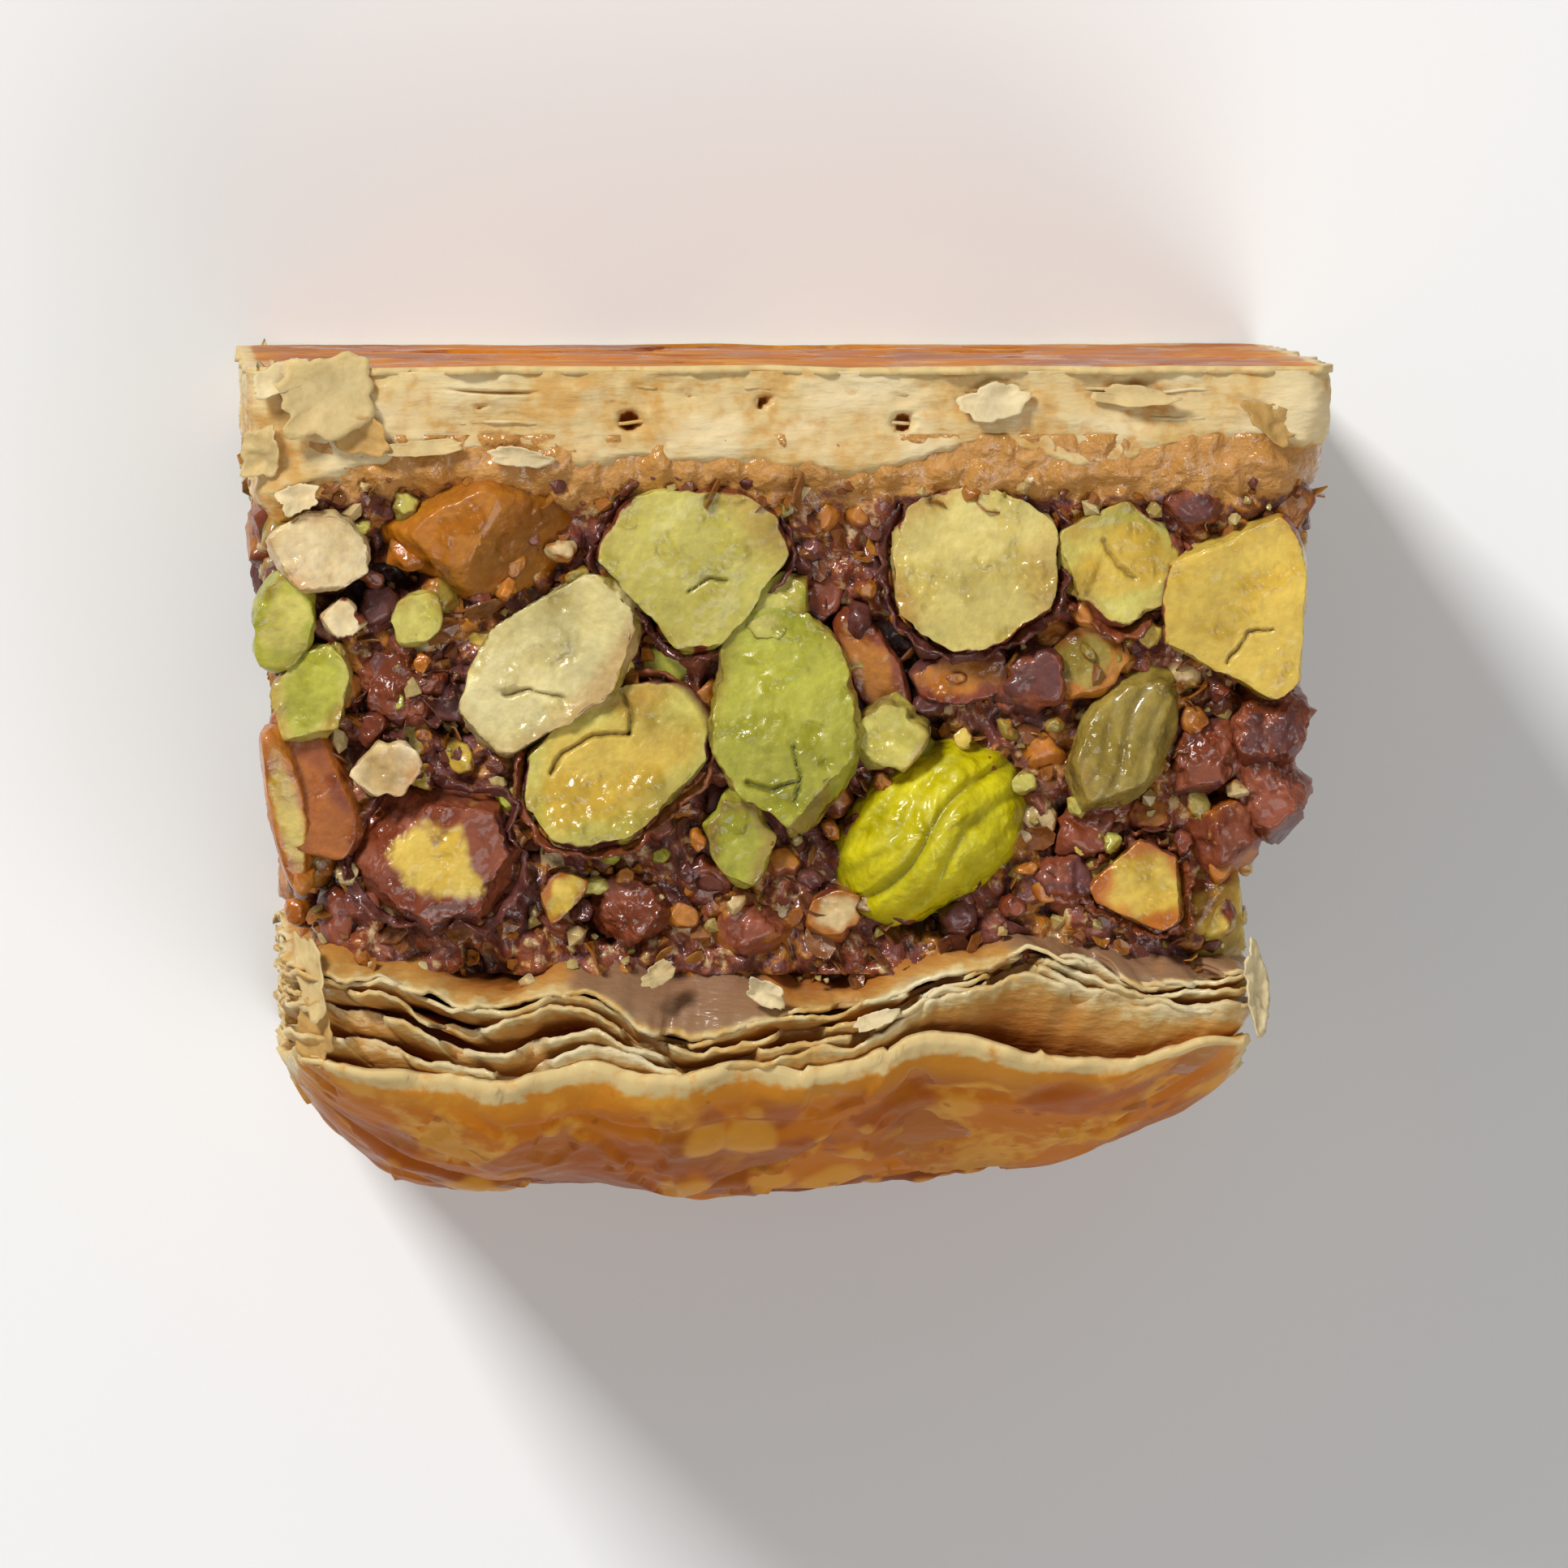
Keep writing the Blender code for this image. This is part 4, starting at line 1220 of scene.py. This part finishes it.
def random_kernel(random, size, seed, detail):
    """A chopped part of a kernel, broken on several sides."""
    weights = np.array([weight for *_, weight in CHOPPED_TINTS], float)
    flesh, skin, _ = CHOPPED_TINTS[random.choice(len(CHOPPED_TINTS), p=weights / weights.sum())]
    chops = [(random.uniform(0, 360), random.uniform(-10, 50), random.uniform(0.55, 0.9)) for _ in range(3)]
    shape = np.array([size, size * random.uniform(0.5, 0.9), size * random.uniform(0.5, 0.8)])
    return Kernel(shape, seed, detail=detail, chops=chops, face=random.uniform(0.4, 0.9), flesh=flesh, skin=skin,
                  facets=7, lumpy=0.2, wrinkle=0.12, bare=0.25, second=0.3)


def fill_side(pile, random, side, count, sizes, sunk, detail, seed):
    """Scatters chopped kernels over one cut side, keeping their middles apart."""
    taken = []
    for number in range(count):
        size = float(mix(sizes[0], sizes[1], random.random() ** 1.6))
        for _ in range(20):
            margin = 0.03 if side in ("upper", "lower") else 0.5 * size / TOP_DEPTH
            point, outward = on_cut(side, random.uniform(margin, 1 - margin), random.uniform(0.05, 0.95), sunk * size)
            if all(np.linalg.norm(point - other) > 0.40 * (size + reach) for other, reach in taken):
                break
        else:
            continue
        taken.append((point, size))
        kernel = random_kernel(random, size, seed + number, detail)
        pile.drop(kernel, point, outward + random.normal(0, 0.15, 3), random.uniform(0, 360))


def chopped_on_sides(finish):
    """Medium kernels on the three other cut sides."""
    random = np.random.default_rng(11)
    pile = Pile()
    for number, (side, count) in enumerate((("left", 44), ("right", 44), ("lower", 36))):
        fill_side(pile, random, side, count, (3.2 * MM, 8.0 * MM), 0.28, 4, 300 + 100 * number)
    return pile.finish("chopped_kernels", finish)


def small_chopped(finish):
    """Small bits between the large kernels on the upper, left and right cut sides."""
    random = np.random.default_rng(12)
    pile = Pile()
    for number, (side, count, sunk) in enumerate((("upper", 260, 0.7), ("left", 120, 0.4), ("right", 120, 0.4))):
        fill_side(pile, random, side, count, (1.0 * MM, 3.0 * MM), sunk, 3, 900 + 300 * number)
    return pile.finish("chopped_bits", finish)


# --- Crumbs, skins and flakes ---------------------------------------------------------------------------------


def scatter_tree():
    """Strews the pieces of a collection over a surface, in random sizes, turns and two tints."""
    graph, given = tree_with_inputs("strewn bits", {
        "Bits": "NodeSocketCollection", "Per Square Metre": 1000.0, "Smallest": 0.5, "Largest": 1.0,
        "Outset": 0.0, "Lowest Z": 0.0, "Highest Y": 0.0, "First Tint": CARAMEL, "Second Tint": RED_BROWN, "Seed": 1,
        "Material": "NodeSocketMaterial",
    })
    _, along, height = graph.separate(graph.add("GeometryNodeInputPosition"))
    chosen = graph.math("GREATER_THAN", height, given["Lowest Z"]) * graph.math("LESS_THAN", along, given["Highest Y"])
    strewn = graph.add("GeometryNodeDistributePointsOnFaces", {
        "Mesh": given["Geometry"], "Selection": chosen, "Density": given["Per Square Metre"], "Seed": given["Seed"]})
    normal = Value(graph, strewn.socket.node.outputs["Normal"])
    shift = graph.vector("SCALE", normal)
    graph.fill(shift.socket.node.inputs["Scale"], given["Outset"])
    strewn = graph.add("GeometryNodeSetPosition", {"Geometry": strewn, "Offset": shift})
    bits = graph.add("GeometryNodeCollectionInfo", {
        "Collection": given["Bits"], "Separate Children": True, "Reset Children": True})

    def random(low, high, offset, kind="FLOAT"):
        return graph.add("FunctionNodeRandomValue", {"Min": low, "Max": high, "Seed": given["Seed"] + offset},
                         data_type=kind)

    turn = random((0.0, 0.0, 0.0), (2 * math.pi, 2 * math.pi, 2 * math.pi), 1, "FLOAT_VECTOR")
    chance = random(0.0, 1.0, 2)
    size = given["Smallest"] + (given["Largest"] - given["Smallest"]) * chance * chance
    copies = graph.add("GeometryNodeInstanceOnPoints", {
        "Points": strewn, "Instance": bits, "Pick Instance": True, "Rotation": turn, "Scale": size})
    tint = graph.blend(random(0.0, 1.0, 3), given["First Tint"], given["Second Tint"])
    tinted = graph.add("GeometryNodeStoreNamedAttribute", {"Geometry": copies, "Name": "tint", "Value": tint},
                       data_type="FLOAT_COLOR", domain="INSTANCE")
    solid = graph.add("GeometryNodeRealizeInstances", {"Geometry": tinted})
    solid = graph.add("GeometryNodeSetMaterial", {"Geometry": solid, "Material": given["Material"]})
    return finish_tree(graph, solid)


def bit_collection(name, shapes):
    """A collection of small meshes for the strewing tree, kept out of the scene."""
    collection = bpy.data.collections.new(name)
    for number, (points, faces) in enumerate(shapes):
        mesh = bpy.data.meshes.new(f"{name}_{number}")
        mesh.from_pydata(points.tolist(), [], [list(face) for face in faces])
        mesh.shade_smooth()
        collection.objects.link(bpy.data.objects.new(f"{name}_{number}", mesh))
    return collection


def crumb_shapes():
    """Angular crumbs one millimetre across."""
    for seed in range(5):
        crumb = Kernel((MM, 0.8 * MM, 0.7 * MM), 700 + seed, detail=1, facets=7, face=0.8, lumpy=0.25, wrinkle=0.2)
        yield crumb.points, crumb.triangles


def sheet_shapes(crumple):
    """Small torn sheets one millimetre across."""
    for seed in range(5):
        yield thin_sheet(8, 2, MM, 0.7 * MM, 0.05 * MM, 0.5, crumple * MM, 750 + seed)


def strewn(name, surface, tree, bits, finish, tints, seed, density, sizes, outset=0.0):
    """Crumbs, skins or flakes strewn over a copy of a surface."""
    piece = bpy.data.objects.new(name, surface.data.copy())
    bpy.context.scene.collection.objects.link(piece)
    piece = outwards(apply_tree(
        piece, tree, bits=bits, per_square_metre=density, smallest=sizes[0], largest=sizes[1], outset=outset,
        lowest_z=1.5 * MM, highest_y=FILLING_HIGH.y - 0.2 * MM, first_tint=(*tints[0], 1.0),
        second_tint=(*tints[1], 1.0), seed=seed, material=finish))
    piece.data.shade_flat()
    return piece


def flakes(name, rows, finish):
    """Thin torn flakes of pastry. A row holds the place, the size, the turn in degrees, the lean, the crumple and the
    tint. Lengths are in mm; the place is measured on the plane of the upper cut side, and from it."""
    pile = Pile()
    for number, ((x, y, above), (wide, tall), turn, lean, crumple, tint) in enumerate(rows):
        points, faces = thin_sheet(56, 7, wide * MM, tall * MM, 0.09 * MM, 0.5, crumple * MM, 800 + number)
        middle = np.array([x * MM, y * MM, taper(y * MM)[2] + above * MM])
        placed = Kernel((MM, MM, MM), 1, detail=1).placed(points, middle, (*lean, 1.0), turn)
        mottle = crumble(placed, 1.2 * MM, 88)[:, None]
        pile.add(placed, faces, np.clip(np.array(tint) * (1 + 0.25 * mottle), 0, 1))
    return pile.finish(name, finish)


BASE_FLAKES = (
    ((-18.3, 15.7, 0.25), (4.4, 3.4), 20, (0.12, 0.1), 0.4, CREAM_LEAF),
    ((-20.2, 16.3, 0.1), (2.6, 1.2), 30, (0.1, 0.5), 0.5, WHITE_LEAF),
    ((-17.0, 14.2, 0.25), (2.4, 1.5), -30, (-0.1, -0.1), 0.4, PALE_LEAF),
    ((-20.8, 13.4, -0.2), (2.2, 1.5), 70, (-0.5, 0.0), 0.6, CREAM_LEAF),
    ((-10.8, 13.3, 0.2), (2.6, 0.8), -8, (0.1, -0.3), 0.3, WHITE_LEAF),
    ((-14.5, 13.6, 0.15), (3.4, 0.7), 4, (0.0, 0.3), 0.3, CREAM_LEAF),
    ((8.0, 15.4, 0.15), (2.8, 1.4), 10, (0.0, 0.2), 0.4, WHITE_LEAF),
    ((13.5, 15.6, 0.1), (3.2, 0.8), -4, (-0.1, 0.3), 0.3, CREAM_LEAF),
    ((19.0, 14.6, 0.0), (2.6, 1.3), -24, (0.4, 0.2), 0.5, PALE_LEAF),
    ((-19.4, 11.6, 0.0), (1.8, 1.2), 12, (-0.2, 0.3), 0.5, WHITE_LEAF),
)
TOP_FLAKES = (
    ((-18.9, -7.4, -0.1), (1.6, 3.6), 16, (-0.9, 0.1), 0.3, CREAM_LEAF),
    ((-18.8, -9.6, -0.4), (1.8, 2.6), -14, (-0.8, -0.3), 0.3, PALE_LEAF),
    ((18.5, -7.8, -0.1), (1.3, 3.4), 6, (0.9, 0.1), 0.3, WHITE_LEAF),
    ((-1.0, -8.0, 0.1), (1.7, 1.0), -30, (0.1, -0.2), 0.4, WHITE_LEAF),
    ((3.4, -9.2, 0.1), (1.9, 0.7), 20, (0.0, 0.3), 0.3, WHITE_LEAF),
    ((-5.2, -7.3, 0.1), (1.5, 0.9), 35, (0.2, 0.2), 0.4, BEIGE),
)


# --- Stage ----------------------------------------------------------------------------------------------------


def stage():
    """A pale floor, soft lamps and the camera."""
    size = 3.0
    mesh = bpy.data.meshes.new("floor")
    mesh.from_pydata([(-size, -size, 0), (size, -size, 0), (size, size, 0), (-size, size, 0)], [], [(0, 1, 2, 3)])
    material = bpy.data.materials.new("pale_floor")
    material.use_nodes = True
    shader = material.node_tree.nodes["Principled BSDF"]
    shader.inputs["Base Color"].default_value = (0.82, 0.82, 0.81, 1)
    shader.inputs["Roughness"].default_value = 0.8
    mesh.materials.append(material)
    floor = bpy.data.objects.new("floor", mesh)
    bpy.context.scene.collection.objects.link(floor)

    world = bpy.data.worlds.new("soft surroundings")
    bpy.context.scene.world = world
    world.use_nodes = True
    world.node_tree.nodes["Background"].inputs["Color"].default_value = (1, 1, 1, 1)
    world.node_tree.nodes["Background"].inputs["Strength"].default_value = 0.22

    def lamp(name, at, size_across, size_along, power):
        light = bpy.data.lights.new(name, "AREA")
        light.shape = "RECTANGLE"
        light.size, light.size_y = size_across, size_along
        light.energy = power
        piece = bpy.data.objects.new(name, light)
        piece.location = at
        way = -piece.location.normalized()
        piece.rotation_euler = way.to_track_quat("-Z", "Y").to_euler()
        bpy.context.scene.collection.objects.link(piece)

    lamp("window", (-0.38, 0.48, 0.56), 0.16, 0.16, 6.2)
    lamp("overhead", (0.20, -0.35, 0.70), 0.4, 0.4, 2.2)

    view = bpy.data.cameras.new("camera")
    view.lens = 330
    view.sensor_width = 36
    view.clip_start, view.clip_end = 0.01, 10
    camera = bpy.data.objects.new("camera", view)
    middle = Vector((0.0, 0.0, 0.8 * cad_bounds[1].z))
    camera.location = (-0.027, 0.032, 0.6)
    backwards = (camera.location - middle).normalized()
    right = Vector((0, 1, 0)).cross(backwards).normalized()
    camera.rotation_euler = Matrix((right, backwards.cross(right), backwards)).transposed().to_euler()
    bpy.context.scene.collection.objects.link(camera)
    bpy.context.scene.camera = camera
    bpy.context.scene.view_settings.view_transform = "Standard"


# --- The piece ------------------------------------------------------------------------------------------------

leaves = leaf_finish("baked_leaves")
pressed_leaves = leaf_finish("pressed_leaves", specular=0.2)
glaze = crust_finish("glazed_crust", 0.06)
pressed = crust_finish("pressed_crust", 0.0, toast_and_shade_strength=0.8)
syrup = syrup_finish()
nuts = tinted_finish("chopped_pistachio", coat=0.35, dry=0.55, wet_share=0.5, grain=0.6)
skins = tinted_finish("papery_skin", coat=0.4, dry=0.45, wet_share=0.45, grain=0.6)
flaky = tinted_finish("dry_flakes", coat=0.0, dry=0.7, wet_share=0.7, grain=0.4)
stacked, scattered = leaf_tree(), scatter_tree()

base_pieces = [
    base_leaves(stacked, pressed_leaves),
    crust_sheet("pressed_leaf", pressed, pressed_height, 1),
    core("pressed_base", pressed_leaves, BASE_HIGH.y - 0.3 * MM, BASE_LOW.y + 0.1 * MM, 0.15 * MM, 760, 72,
         pressed_streaks, far_line=BASE_LINE),
    flakes("base_flakes", BASE_FLAKES, flaky),
]
top_pieces = [
    top_leaves(leaves),
    crust_sheet("glazed_leaf", glaze, glazed_height, -1),
    core("top_core", leaves, FILLING_LOW.y - 2.2 * MM, TOP_RIM - 1.6 * MM, 4.0 * MM, 200, 6, dark_inside,
         0.6 * DOME_RISE),
    flakes("top_flakes", TOP_FLAKES, flaky),
]
crumb_wall = core("filling_core", syrup, BASE_LOW.y + 1.4 * MM, FILLING_LOW.y - 1.2 * MM, 2.0 * MM, 780, 100,
                  packed_crumb)
crumbs = bit_collection("crumb", crumb_shapes())
skin_bits = bit_collection("skin_bit", sheet_shapes(0.3))
filling_pieces = [
    crumb_wall,
    *kernels_on_upper_cut(nuts),
    chopped_on_sides(nuts),
    small_chopped(nuts),
    strewn("dark_crumbs", crumb_wall, scattered, crumbs, skins, (PURPLE_SKIN, CARAMEL), 5, 4.5e5, (0.4, 1.3)),
    strewn("pale_crumbs", crumb_wall, scattered, crumbs, nuts, (BEIGE, KHAKI), 6, 2.0e5, (0.35, 1.3), 0.3 * MM),
    strewn("skin_shreds", crumb_wall, scattered, skin_bits, skins, (PURPLE_SKIN, CARAMEL), 7, 2.2e5, (0.8, 2.0),
           0.3 * MM),
]
for node, pieces in (("base_pastry", base_pieces), ("top_pastry", top_pieces), ("nut_filling", filling_pieces)):
    for piece in pieces:
        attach(piece, "root")
        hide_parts(node)

stage()
